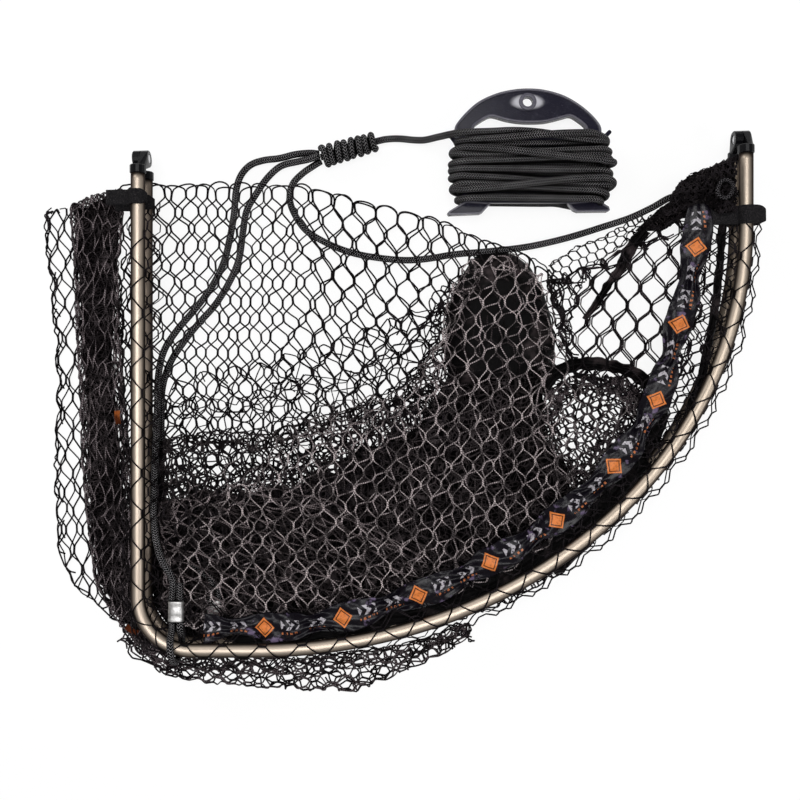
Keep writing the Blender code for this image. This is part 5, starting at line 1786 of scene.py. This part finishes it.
def declare_net(paths: Sequence[np.ndarray], thickness: float,
                held: str, half: Half) -> None:
    """Work out a net's size as a sheet, with the meshes drawn closed; nothing is declared and the size
    is not kept.

    Args:
        paths: Its strands.
        thickness: Their thickness, in metres.
        held: How the net is held. Not used.
        half: The half of the ring that it hangs from. Not used.
    """
    length = float(sum(lengths_along(path)[-1] for path in paths))
    width = max(0.012, len(paths) * thickness)
    round(length * thickness / width, 4)


@dataclass
class PackedFolds:
    """A lumpy body of netting or cloth folded so tightly that no light comes through.

    Base, height and shoulder are in metres; the level and the lumps' length in millimetres.
    """

    name: str
    seen: list
    level: float
    base: float
    height: float
    seed: float = 1.0
    spokes: int = 150
    rings: int = 40
    shoulder: float = 0.030
    lumps: float = 0.35
    lump_length: float = 30.0
    half: Half = Half.REAR
    finish: Finish = PackedNet()
    replaces: tuple = ()

    def build(self) -> None:
        """Build the body as a shell over its outline, closed underneath."""
        corners = Outline(seen_at(self.seen, self.level)).corners
        closed = np.vstack([corners, corners[:1]])
        along = lengths_along(closed)
        spots = np.linspace(0, along[-1], self.spokes + 1)
        rim = np.column_stack([np.interp(spots, along, closed[:, k]) for k in (0, 1)])
        middle = rim[:-1].mean(0)

        def placer(turn: float, inwards: float) -> Vector:
            """Place a point of the shell: out along the sole, then in over the top."""
            out = rim[round(turn * self.spokes)] - middle
            under = inwards < SOLE
            share = inwards / SOLE if under else 1 - (inwards - SOLE) / (1 - SOLE)
            x, y = middle + out * share
            if under:
                return Vector((x, y, self.base))
            deep = max(0.0, float(np.linalg.norm(out)) * (1 - share))
            shape = 1 - (1 - min(1.0, deep / self.shoulder)) ** 2.2
            place = Vector((x, y, self.seed))
            lump = noise.noise(place / (self.lump_length * MM)) * 0.6
            lump += noise.noise(place / (self.lump_length * 0.4 * MM)) * 0.4
            ridge = 1 - abs(noise.noise(place / (self.lump_length * 0.7 * MM))) * 2
            rise = self.height * shape * (1 - self.lumps + self.lumps * (lump + 0.5 * ridge))
            return Vector((x, y, self.base + max(0.0, rise)))

        item = band(self.name, (self.spokes, self.rings), placer, 1.0)
        bm = bmesh.new()
        bm.from_mesh(item.data)
        bmesh.ops.remove_doubles(bm, verts=bm.verts, dist=2e-5)
        bmesh.ops.recalc_face_normals(bm, faces=bm.faces)
        bm.to_mesh(item.data)
        bm.free()
        dress(item, self.finish, self.half, self.replaces)


@dataclass
class SleeveNet:
    """Netting that wraps a tube: strands zigzag along it and run down both of its sides.

    Lengths are in millimetres, start and end are shares of the ring's half. Over is 1 where the
    net passes over the tube and -1 where it passes under it. Beyond upright, on the inner side,
    the net is cut away along the left side of the ring.
    """

    name: str
    half: Half
    outside: float
    inside: float
    seed: float
    pitch: float = 25.0
    step: float = 20.0
    over: int = 1
    drop_out: float = 18.0
    drop_in: float = 20.0
    start: float = 0.04
    end: float = 0.958
    stray: float = 2.2
    crumple: float = 0.0
    thickness: float = 1.6
    shift: float = 0.0
    upright: float = 19.0
    pillar: float = 9.5
    gap: float = 0.7
    twine: Finish = Twine()
    replaces: tuple = ()

    def wandered(self, along: np.ndarray, across: np.ndarray) -> tuple[np.ndarray, np.ndarray]:
        """Let a strand wander along the ring and across it, and cut it finer.

        Args:
            along: Metres along the ring.
            across: Metres across the tube.

        Returns:
            Both again.
        """
        mark = np.column_stack([along, across, np.full(len(along), self.seed)])
        for reach, length, pattern in (
                (self.stray, SLEEVE_WAVE, 0), (self.crumple, CRUMPLE_LENGTH, 2)):
            if reach:
                seed = self.seed + pattern
                along = along + wobble(mark, length, seed)[:, 0] * (reach * MM)
                across = across + wobble(mark, length, seed + 5)[:, 0] * (reach * MM)
        coarse = np.arange(len(along))
        fine = np.linspace(0, len(along) - 1, (len(along) - 1) * 3 + 1)
        return np.interp(fine, coarse, along), np.interp(fine, coarse, across)

    def height(self, along: np.ndarray, across: np.ndarray) -> np.ndarray:
        """Height of a strand: round the tube, then down towards its edges.

        Args:
            along: Metres along the ring.
            across: Metres across the tube.

        Returns:
            Metres over the floor, before the strand is turned back at the edge.
        """
        clear = TUBE_OD / 2 + self.thickness * MM / 2 + 0.0002
        size = np.abs(across)
        crown = np.sqrt(np.maximum(0, clear**2 - np.minimum(size, clear) ** 2))
        reach = np.where(across < 0, self.outside, self.inside) * MM - clear
        drop = np.where(across < 0, self.drop_out, self.drop_in) * MM
        share = np.clip(np.maximum(0, size - clear) / np.maximum(reach, 0.004), 0, 1)
        ripple = wobble(np.column_stack([along, across, np.zeros(len(along))]), 0.02, self.seed)
        level = FRONT_Z if self.half is Half.FRONT else REAR_Z
        return level + self.over * crown - drop * share ** 0.8 + RIPPLE * ripple[:, 0] * (
            size > clear)

    def build(self) -> None:
        """Build the sleeve's strands along the ring."""
        plan = even_steps(ring_plan(4), 0.002)
        line = np.array(plan)[:, :2]
        total = (len(line) - 1) * (plan[1] - plan[0]).length
        ahead = np.gradient(line, axis=0)
        ahead /= np.linalg.norm(ahead, axis=1)[:, None]
        steps = np.linspace(0, total, len(line))
        made = zigzags(self.pitch, self.step, self.pillar, self.gap, self.outside + self.inside,
                       total * (self.end - self.start) / MM, False)
        centre = round(self.outside / (self.pitch / 2)) * self.pitch / 2
        edge = -self.outside * MM
        paths = []
        for strand in made:
            s, across = self.wandered(self.start * total + strand[:, 1] * MM,
                                      (strand[:, 0] - centre + self.shift) * MM)
            folded = across < edge
            across = np.where(folded, 2 * edge - across, across)
            x, y = (np.interp(s, steps, line[:, k]) for k in (0, 1))
            dx, dy = (np.interp(s, steps, ahead[:, k]) for k in (0, 1))
            z = np.maximum(self.height(s, across) - RIPPLE * folded,
                           self.thickness * MM / 2 + 0.0002)
            keep = (s > self.start * total) & (s < self.end * total)
            if strand[:, 0].mean() - centre > self.upright:
                keep &= (y < CORNER_Y) | (x > 0)
            path = np.column_stack([x - dy * across, y + dx * across, z])[keep]
            if len(path) > 3:
                paths.append(path)
        item = strands(self.name, paths, self.thickness * MM / 2)
        dress(item, self.twine, self.half, self.replaces)
        declare_net(paths, self.thickness * MM, "gathered", self.half)


# Outlines of the netting, as places in the picture's frame
TOP_EDGE = [
    (116, 190), (150, 189), (290, 190), (330, 198), (400, 215), (450, 230), (480, 245),
    (515, 255), (545, 275), (562, 285),
]
PANEL_SEEN = [
    (118, 186), (150, 180), (290, 180), (330, 188), (400, 205), (450, 220), (480, 235),
    (515, 245), (545, 265), (560, 280), (566, 330), (600, 380), (640, 400), (650, 470),
    (640, 515), (580, 565), (510, 605), (400, 640), (300, 655), (210, 655), (165, 640),
    (140, 610), (122, 560),
]
TWIN_SEEN = [
    (150, 180), (290, 180), (330, 188), (400, 205), (450, 220), (480, 235), (515, 245), (545, 265),
    (566, 282), (552, 292), (512, 266), (474, 272), (460, 292), (452, 338), (408, 402), (334, 416),
    (294, 436), (272, 484), (220, 514), (168, 572), (149, 572),
]
CLEAN_SEEN = [
    (545, 278), (575, 268), (600, 258), (640, 238), (680, 213), (704, 205), (712, 240),
    (706, 300), (690, 360), (668, 400), (620, 392), (575, 380), (556, 330),
]
FLAP_SEEN = [
    (42, 214), (48, 206), (60, 206), (76, 211), (110, 205), (124, 300), (124, 600), (150, 640),
    (180, 668), (160, 674), (135, 650), (100, 610), (75, 590), (57, 550), (53, 470), (56, 400),
    (55, 350), (50, 300), (45, 250),
]
BAND_SEEN = [
    (70, 205), (88, 196), (122, 187), (124, 215), (119, 260), (120, 330), (127, 420),
    (134, 520), (138, 580), (150, 620), (166, 648), (152, 658), (120, 627), (95, 584),
    (84, 500), (78, 380), (74, 280),
]
BAND_CORE_SEEN = [
    (76, 206), (94, 196), (118, 188), (120, 210), (110, 240), (110, 330), (116, 420),
    (124, 520), (130, 580), (144, 620), (158, 648), (150, 652), (122, 622), (100, 580),
    (90, 500), (85, 380), (80, 280),
]
HEAP_SEEN = [
    (150, 440), (200, 430), (270, 430), (330, 410), (400, 396), (440, 335), (450, 285),
    (470, 258), (510, 252), (538, 275), (555, 330), (560, 370), (548, 400), (556, 440),
    (580, 470), (590, 520), (520, 570), (440, 606), (350, 630), (250, 640), (190, 636),
    (158, 610), (150, 520),
]
CORE_SEEN = [
    (146, 512), (160, 500), (176, 506), (190, 488), (203, 494), (214, 508), (228, 516),
    (246, 508), (258, 490), (272, 484), (286, 494), (300, 486), (316, 468), (334, 474),
    (346, 456), (362, 446), (380, 446), (396, 428), (414, 432), (432, 408), (446, 388),
    (456, 364), (475, 350), (520, 350), (548, 362), (545, 395), (548, 440), (572, 470),
    (574, 520), (530, 560), (440, 602), (350, 626), (250, 642), (200, 646), (172, 638),
    (152, 610), (144, 560),
]
MISTY_SEEN = [
    (148, 390), (200, 370), (260, 360), (330, 340), (420, 305), (450, 275), (500, 300),
    (545, 360), (600, 380), (650, 400), (650, 430), (600, 500), (540, 560), (440, 600), (330, 630),
    (200, 640), (150, 600),
]
EDGE_SEEN = [
    (148, 440), (200, 435), (260, 440), (320, 425), (380, 395), (420, 360), (440, 300),
    (455, 300), (455, 420), (400, 480), (330, 530), (250, 560), (150, 560),
]
VEIL_SEEN = [
    (158, 560), (210, 500), (262, 470), (282, 425), (330, 402), (400, 388), (440, 330),
    (450, 282), (470, 256), (512, 250), (545, 272), (560, 330), (575, 380), (640, 396),
    (640, 440), (600, 500), (560, 540), (500, 578), (430, 606), (340, 626), (240, 634),
    (180, 630),
]
ISLAND_SEEN = [
    (545, 390), (575, 374), (625, 376), (648, 395), (640, 420), (610, 460), (580, 490),
    (550, 520), (530, 470),
]
SHADE_SEEN = [
    (545, 570), (570, 538), (592, 500), (615, 470), (640, 430), (652, 395), (668, 392),
    (672, 410), (662, 445), (644, 480), (620, 515), (590, 550), (556, 580),
]
SKIRT_SEEN = [
    (128, 628), (165, 660), (205, 655), (300, 657), (400, 645), (470, 622), (472, 635),
    (450, 652), (395, 677), (355, 693), (280, 690), (205, 684), (165, 676), (135, 652),
]
CLOTH_SEEN = [
    (470, 262), (480, 250), (497, 246), (516, 252), (532, 264), (544, 284), (552, 310),
    (558, 340), (556, 372), (530, 392), (480, 396), (452, 392), (446, 360), (446, 320),
    (454, 288),
]
THROAT_SEEN = [
    (636, 230), (660, 208), (680, 194), (696, 178), (706, 190), (704, 208), (690, 214),
    (664, 230),
]
HITCH_SEEN = [
    (660, 212), (668, 203), (673, 191), (680, 181), (690, 174), (700, 169), (710, 166), (719, 161),
    (730, 157), (738, 155), (738, 168), (737, 186), (738, 204), (738, 212), (722, 214), (712, 206),
    (700, 203), (690, 206), (677, 213), (668, 216),
]
MISTY_UNDER_SEEN = [
    (148, 412), (190, 392), (230, 402), (290, 372), (340, 376), (400, 340), (440, 300),
    (470, 330), (500, 420), (440, 600), (330, 630), (200, 640), (150, 600),
]
EDGE_HIGH_SEEN = [
    (150, 470), (176, 462), (215, 476), (250, 466), (300, 452), (340, 432), (390, 400),
    (430, 384), (452, 380), (452, 420), (400, 480), (330, 520), (250, 540), (152, 540),
]
EDGE_MID_SEEN = [
    (148, 486), (180, 474), (215, 488), (250, 480), (300, 466), (340, 446), (390, 414),
    (430, 396), (452, 390), (452, 420), (400, 470), (330, 510), (250, 536), (150, 530),
]
CLEAN_EDGE_SEEN = [
    (548, 262), (575, 244), (610, 231), (640, 214), (656, 218), (624, 248), (594, 268),
    (578, 296), (570, 345), (560, 352), (550, 300),
]
DRAWN_SEEN = [
    (158, 500), (240, 480), (330, 500), (430, 560), (440, 600), (350, 624), (240, 634), (160, 610),
]
SKIRT_NEAR_SEEN = [
    (150, 640), (200, 655), (300, 657), (400, 645), (456, 630), (458, 638), (400, 664),
    (300, 676), (200, 672), (155, 664),
]

# The folded bands' routes, in millimetres
REAR_RIBBON_ROUTE = [
    (260, 171, 12), (247, 152, 11), (240, 142, 12), (226, 120, 12), (213, 99, 11), (203, 84, 8),
    (199, 78, 5),
]
DARK_ARC_ROUTE = [
    (152, 4, 12), (166, 20, 14), (186, 29, 15), (212, 31, 15), (238, 26, 14), (262, 10, 13),
    (272, -6, 12),
]
HEM_RIGHT_ROUTE = [
    (236, -112, 38), (262, -78, 38), (286, -42, 38), (304, 0, 38), (317, 48, 38), (325, 95, 38),
    (329.5, 140, 38), (331, 166, 38), (331.5, 186, 38),
]
GLIMPSE_ROUTES = [
    [(-287, -17, 12.5), (-286.6, -24, 14), (-286, -31, 12.5)],
    [(-277.5, -240.5, 12.5), (-271.5, -244.5, 14), (-264.5, -247.5, 12.5)],
]


def mound(low: float, high: float) -> Callable[[np.ndarray], np.ndarray]:
    """Make a rise over the heap, from its edge inwards.

    Args:
        low: Height at the edge, in millimetres.
        high: Height over the heap.

    Returns:
        A function that turns plane points into heights, in metres.
    """
    heap = Outline(seen_at(HEAP_SEEN, 20))
    # Metres over which it rises, and how far up it is at its outline already
    slope, start = 0.045, 0.35

    def rise(points: np.ndarray) -> np.ndarray:
        """Height of the heap under each point."""
        share = np.clip(heap.depth(points) / slope + start, 0, 1)
        return (low + (high - low) * share * share * (3 - 2 * share)) * MM

    return rise


def packed_bodies() -> list[PackedFolds]:
    """The dense bodies under the netting."""
    return [
        PackedFolds("heap_core", CORE_SEEN, 14, 0.0035, 0.0205, 1.0, 220,
                    finish=PackedNet(high=(0.075, 0.062, 0.065)), replaces=("net_bag_folds",)),
        PackedFolds("band_core", BAND_CORE_SEEN, 6, 0.0030, 0.011, 4.0, 260, 20, 0.010,
                    lump_length=18, finish=PackedNet(mesh=150, high=(0.085, 0.070, 0.074)),
                    replaces=("sleeve_gather_left",)),
        PackedFolds("base_cloth", CLOTH_SEEN, 18, 0.0029, 0.0225, 9.0, 140, 40, 0.034, 0.22, 38,
                    finish=PlainSatin(), replaces=("base_patch",)),
        PackedFolds("ribbon_shade", SHADE_SEEN, 12, 0.0030, 0.020, 12.0, 170, 20, 0.014, 0.5, 22,
                    finish=PlainSatin()),
        PackedFolds("hitch_core", HITCH_SEEN, 56, 0.0490, 0.0095, 15.0, 150, 18, 0.008, 0.6, 9,
                    Half.FRONT, PackedNet(mesh=170, high=(0.10, 0.085, 0.088)),
                    ("sleeve_gather_right",)),
        PackedFolds("throat_core", THROAT_SEEN, 14, 0.0035, 0.011, 17.0, 120, 14, 0.008, 0.6, 10),
    ]


def folded_bands() -> list[FoldedBand]:
    """The hems, and the ribbons that show through the netting."""
    # Steps along the ring, and how far inside it the hem lies, as a share of a step
    step, inside = 0.030, 0.34
    plan = even_steps(ring_plan(4), step)
    hem = [(point + Vector((point.y - ahead.y, ahead.x - point.x, 0)) * inside) / MM
           for point, ahead in zip(plan, plan[1:])]
    # The orange ribbon: its own orange on the folds' crests, and a dim orange over the rest as painted
    # shade
    orange = PlainSatin(low=(0.10, 0.022, 0.006), high=(0.80, 0.235, 0.055))
    return [
        FoldedBand("rear_ribbon", REAR_RIBBON_ROUTE, 14, seed=3.0, ragged=0.9, taper=0.35,
                   replaces=("hem_ribbon_rear",)),
        FoldedBand("painted_edge_shade_arc", DARK_ARC_ROUTE, 15, seed=6.0, depth=4.0),
        FoldedBand("hem_low", [(x, y, 27.6) for x, y, _ in hem if x > -185 and y < -60], 17,
                   seed=14.0, folds=2.0, depth=2.6, ragged=0.35),
        FoldedBand("hem_right", HEM_RIGHT_ROUTE, 8.5, Half.FRONT, seed=8.0, folds=1.6, depth=2.4),
        *(FoldedBand(f"ribbon_glimpse_{number + 1}", route, 5.5, seed=20.0 + number, folds=4.2,
                     depth=3.6, ragged=0.55, cloth=orange, rests_on="net_left_band_top")
          for number, route in enumerate(GLIMPSE_ROUTES)),
    ]


def net_layers() -> list[NetLayer]:
    """The layers of netting, from the floor up.

    The numbers after a name and its outline are the outline's level, the seed, the pitch and the
    step of the meshes, the height over the floor, the relief and the turn.
    """
    # Paler and deeper copies of the one black twine: their paler colours are painted light on strands
    # that lie higher or over the heap; deep and tucked also paint shade in the hollows
    pale = Twine(low=(0.010, 0.008, 0.009), high=(0.76, 0.66, 0.66), fades=True)
    deep = Twine(high=(0.30, 0.25, 0.262), deep=True)
    grey = Twine(low=(0.004, 0.003, 0.0035), high=(0.26, 0.215, 0.22))
    lit_heap_twine = Twine(low=(0.004, 0.003, 0.0035), high=(0.60, 0.51, 0.52), fades=True)
    brown = Twine(low=(0.003, 0.0024, 0.0026), high=(0.13, 0.105, 0.112))
    tucked = Twine(high=(0.20, 0.165, 0.175), deep=True)
    black = Twine(high=(0.07, 0.058, 0.060))
    folded, gathered = partial(NetLayer, held="folded"), partial(NetLayer, held="gathered")
    return [
        NetLayer("net_rear_panel", PANEL_SEEN, 2, 1.0, top_edge=TOP_EDGE, stray=4.6,
                 stray_length=30, replaces=("net_lower_panel",)),
        NetLayer("net_rear_fold", PANEL_SEEN, 2, 2.0, 24, base=2.2, relief=0.6,
                 top_edge=[(u + 5, v + 2) for u, v in TOP_EDGE], stray=6, stray_length=36),
        NetLayer("net_clean_low", CLEAN_SEEN, 2, 16.0, 26, 20, 1.2, 0.5, -6, pillar=11.5,
                 stray=3.5, fold=24, gap=1.6, thickness=1.7),
        NetLayer("net_clean_mid", CLEAN_SEEN, 4, 16.2, 25.5, 20.4, 3, 0.5, -3, pillar=11,
                 stray=4.5, fold=20, gap=1.8, thickness=1.5, twine=brown),
        NetLayer("net_clean_high", CLEAN_SEEN, 38, 16.35, 25, 19.2, 37, 1, -6, Half.FRONT,
                 pillar=11, stray=3.5, fold=20, gap=1.3, thickness=1.6),
        gathered("net_clean_edge", CLEAN_EDGE_SEEN, 5, 31.0, 11, 9.5, 4, 2, 30, crumple=2.2,
                 stray=4, fold=12, thickness=1.3),
        NetLayer("net_front_panel", TWIN_SEEN, 2, 1.0, half=Half.FRONT, top_edge=TOP_EDGE,
                 lowest=min(y for _, y in seen_at(PANEL_SEEN, 2)) - 30, stray=4.6,
                 stray_length=30, fold=0, lift=36, thickness=1.3, held="stretched"),
        NetLayer("net_left_flap", FLAP_SEEN, 2, 3.0, 17, 20, 1.2, 0.8, fold=12),
        NetLayer("net_left_under", FLAP_SEEN, 3, 26.0, 21, 22, 2.6, 0.8, 8, fold=8, stray=4,
                 thickness=1.4),
        gathered("net_left_band_low", BAND_SEEN, 5, 4.0, 11, 16, 3, 1.5, fold=12, crumple=1.6),
        gathered("net_left_band_mid", BAND_SEEN, 8, 5.0, 6.5, 13, 9, 2.5, 9, pillar=6, fold=18,
                 crumple=2.4, stray=5, thickness=1.4, twine=tucked),
        gathered("net_left_band_top", BAND_SEEN, 12, 6.0, 9, 16, 13.5, 2, -6, pillar=8, fold=12,
                 crumple=3.6, stray=9, stray_length=24, thickness=1.25, twine=deep),
        folded("net_misty_fold", MISTY_SEEN, 5, 7.0, 25, 20, 4, 1.5, 25, crumple=0.8, stray=6,
               fold=32, thickness=1.6),
        folded("net_misty_under", MISTY_UNDER_SEEN, 8, 8.0, 18, 15, 6, 2, -35, crumple=1.2,
               stray=6, fold=28, thickness=1.4),
        folded("net_edge_low", EDGE_SEEN, 10, 17.0, 14, 12, 8, 3, 62, crumple=2, stray=6, fold=14),
        folded("net_edge_high", EDGE_HIGH_SEEN, 20, 18.0, 9, 9, 19, 3, -8, crumple=1.6, stray=5,
               fold=12),
        folded("net_edge_mid", EDGE_MID_SEEN, 15, 28.0, 9, 8, 14, 3, 33, crumple=1.6, stray=5,
               fold=12, twine=brown),
        folded("net_heap_low", HEAP_SEEN, 20, 9.0, 19, 15, 0, 3, 50, rise=mound(4, 22),
               crumple=2, twine=black),
        folded("net_heap_mid", HEAP_SEEN, 24, 10.0, 22, 18, 0, 3, -24, rise=mound(6, 26),
               crumple=1.2, thickness=1.5, stray=5, twine=lit_heap_twine),
        folded("net_heap_drawn", DRAWN_SEEN, 28, 19.0, 13, 30, 29, 1.5, 62, crumple=1, pillar=14,
               thickness=1.2, twine=grey),
        NetLayer("net_front_veil", VEIL_SEEN, 37, 11.0, 21.5, 16.5, 36, 1.5, 3, Half.FRONT,
                 crumple=0.6, pillar=9, gap=0.9, thickness=1.2, stray=4, fold=16, held="draped",
                 twine=pale),
        folded("net_island_low", ISLAND_SEEN, 4, 12.0, 9.5, 8.5, 3, 1.5, 30, crumple=1.4,
               thickness=1.9),
        folded("net_island_high", ISLAND_SEEN, 8, 13.0, 12, 10, 6, 1.5, -20, crumple=1.4,
               thickness=1.9, twine=brown),
        NetLayer("net_skirt_low", SKIRT_SEEN, 2, 14.0, 18, 14, 1.5, 1, 70, crumple=2),
        NetLayer("net_skirt_high", SKIRT_SEEN, 4, 15.0, 20, 15, 4, 1.5, 95, fold=24, crumple=2,
                 twine=brown),
        NetLayer("net_skirt_near", SKIRT_NEAR_SEEN, 7, 20.0, 12, 10, 7, 2, 20, fold=7, crumple=2,
                 twine=brown),
        gathered("net_throat", THROAT_SEEN, 14, 24.0, 7, 7, 14, 2, 40, fold=8, crumple=2,
                 thickness=1.3),
        gathered("net_hitch", HITCH_SEEN, 60, 25.0, 7, 6.5, 59.5, 1.5, 15, Half.FRONT, fold=6,
                 crumple=2, thickness=1.2),
        gathered("net_hitch_top", HITCH_SEEN, 60, 27.0, 9, 7, 60.5, 1.5, -40, Half.FRONT,
                 fold=5, crumple=2, thickness=1.1),
    ]


def hitch_ring() -> None:
    """The small loop of rope that lies on the gathered net at the right hinge."""
    x, y = seen_at([(725, 189)], 61)[0]
    points = [
        Vector((x + 7.2 * math.cos(a) * (1 + 0.1 * math.sin(2 * a)), y + 8.6 * math.sin(a),
                61.6 + 1.2 * math.sin(a + 1))) * MM for a in np.linspace(0.3, 6.6, 40)]
    dress(strands("hitch_ring", [points], 0.0021, 10), BraidedRope(high=(0.30, 0.28, 0.30)),
          Half.FRONT)


def sleeves() -> list[SleeveNet]:
    """The netting round the tubes; the numbers are its reach out and in, seed, pitch and step."""
    return [
        SleeveNet("sleeve_front_over", Half.FRONT, 23, 44, 21.0, replaces=("net_front_sleeve",)),
        SleeveNet("sleeve_front_under", Half.FRONT, 13, 34, 22.0, 23, 19, -1, 6, 8, 0.02,
                  upright=12, crumple=1.2, shift=4, thickness=1.25),
        SleeveNet("sleeve_front_hem", Half.FRONT, 9, 40, 33.0, 12, 11, -1, 4, 8, 0.66,
                  crumple=1.6, stray=4, thickness=1.2),
        SleeveNet("sleeve_rear", Half.REAR, 16, 30, 23.0, 21, 17, 1, 8, 8, 0.02, upright=12,
                  crumple=1.5, thickness=1.35),
    ]


# The studio


class Studio:
    """Pale floor, soft lamps and the camera straight above."""

    def lamp(self, name: str, place: tuple, size: float, power: float) -> None:
        """Hang a square lamp that looks at the object."""
        data = bpy.data.lights.new(name, "AREA")
        data.shape, data.size, data.energy = "SQUARE", size, power
        item = link(name, data)
        item.location = place
        item.rotation_euler = (-Vector(place)).to_track_quat("-Z", "Y").to_euler()

    def build(self) -> None:
        """Build the floor, the lamps, the world and the camera."""
        bm = bmesh.new()
        bmesh.ops.create_grid(bm, x_segments=4, y_segments=4, size=6)
        floor = link("floor", meshed("floor", bm))
        floor.data.materials.append(PaleFloor().material())
        world = bpy.data.worlds.new("studio")
        bpy.context.scene.world = world
        world.use_nodes = True
        background = world.node_tree.nodes["Background"]
        background.inputs["Color"].default_value = (1, 1, 1, 1)
        background.inputs["Strength"].default_value = 0.22
        self.lamp("key", (-0.06, 0.12, 2.3), 1.5, 31)
        self.lamp("fill", (1.5, -0.6, 1.3), 0.8, 6)
        self.lamp("back", (-1.2, 1.5, 1.1), 0.7, 8)
        data = bpy.data.cameras.new("view")
        data.lens, data.sensor_width = LENS_MM, SENSOR_MM
        camera = link("view", data)
        camera.location = EYE
        bpy.context.scene.camera = camera
        bpy.context.scene.view_settings.view_transform = "Standard"


def main() -> None:
    """Build every piece, light the studio and set the camera."""
    logging.basicConfig(level=logging.INFO, format="%(message)s")
    noise.seed_set(NOISE_SEED)
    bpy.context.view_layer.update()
    Studio().build()
    RingFrame().build()
    Bridle().build()
    WoundLine().build()
    LineWinder().build()
    # The straps: where they lie, their tails' length and side, their slack and their width
    for name, half, place, tail, side, slack, width in (
        ("front_left", Half.FRONT, (LEFT_X, 0.1964, FRONT_Z), 0.0235, -1, 0.0, 0.015),
        ("rear_left", Half.REAR, (LEFT_X, 0.1964, REAR_Z), 0.0235, -1, 0.0, 0.015),
        ("front_right", Half.FRONT, (RIGHT_X, 0.1785, FRONT_Z), 0.046, -1, 0.0105, 0.0185),
        ("rear_right", Half.REAR, (RIGHT_X, 0.1805, REAR_Z), 0.0076, 1, 0.0, 0.015),
    ):
        TubeStrap(name, half, Vector(place), tail, side, slack, width).build()
    HemRibbon().build()
    for part in (*packed_bodies(), *folded_bands(), *net_layers()):
        part.build()
    hitch_ring()
    for sleeve in sleeves():
        sleeve.build()


if __name__ == "__main__":
    main()
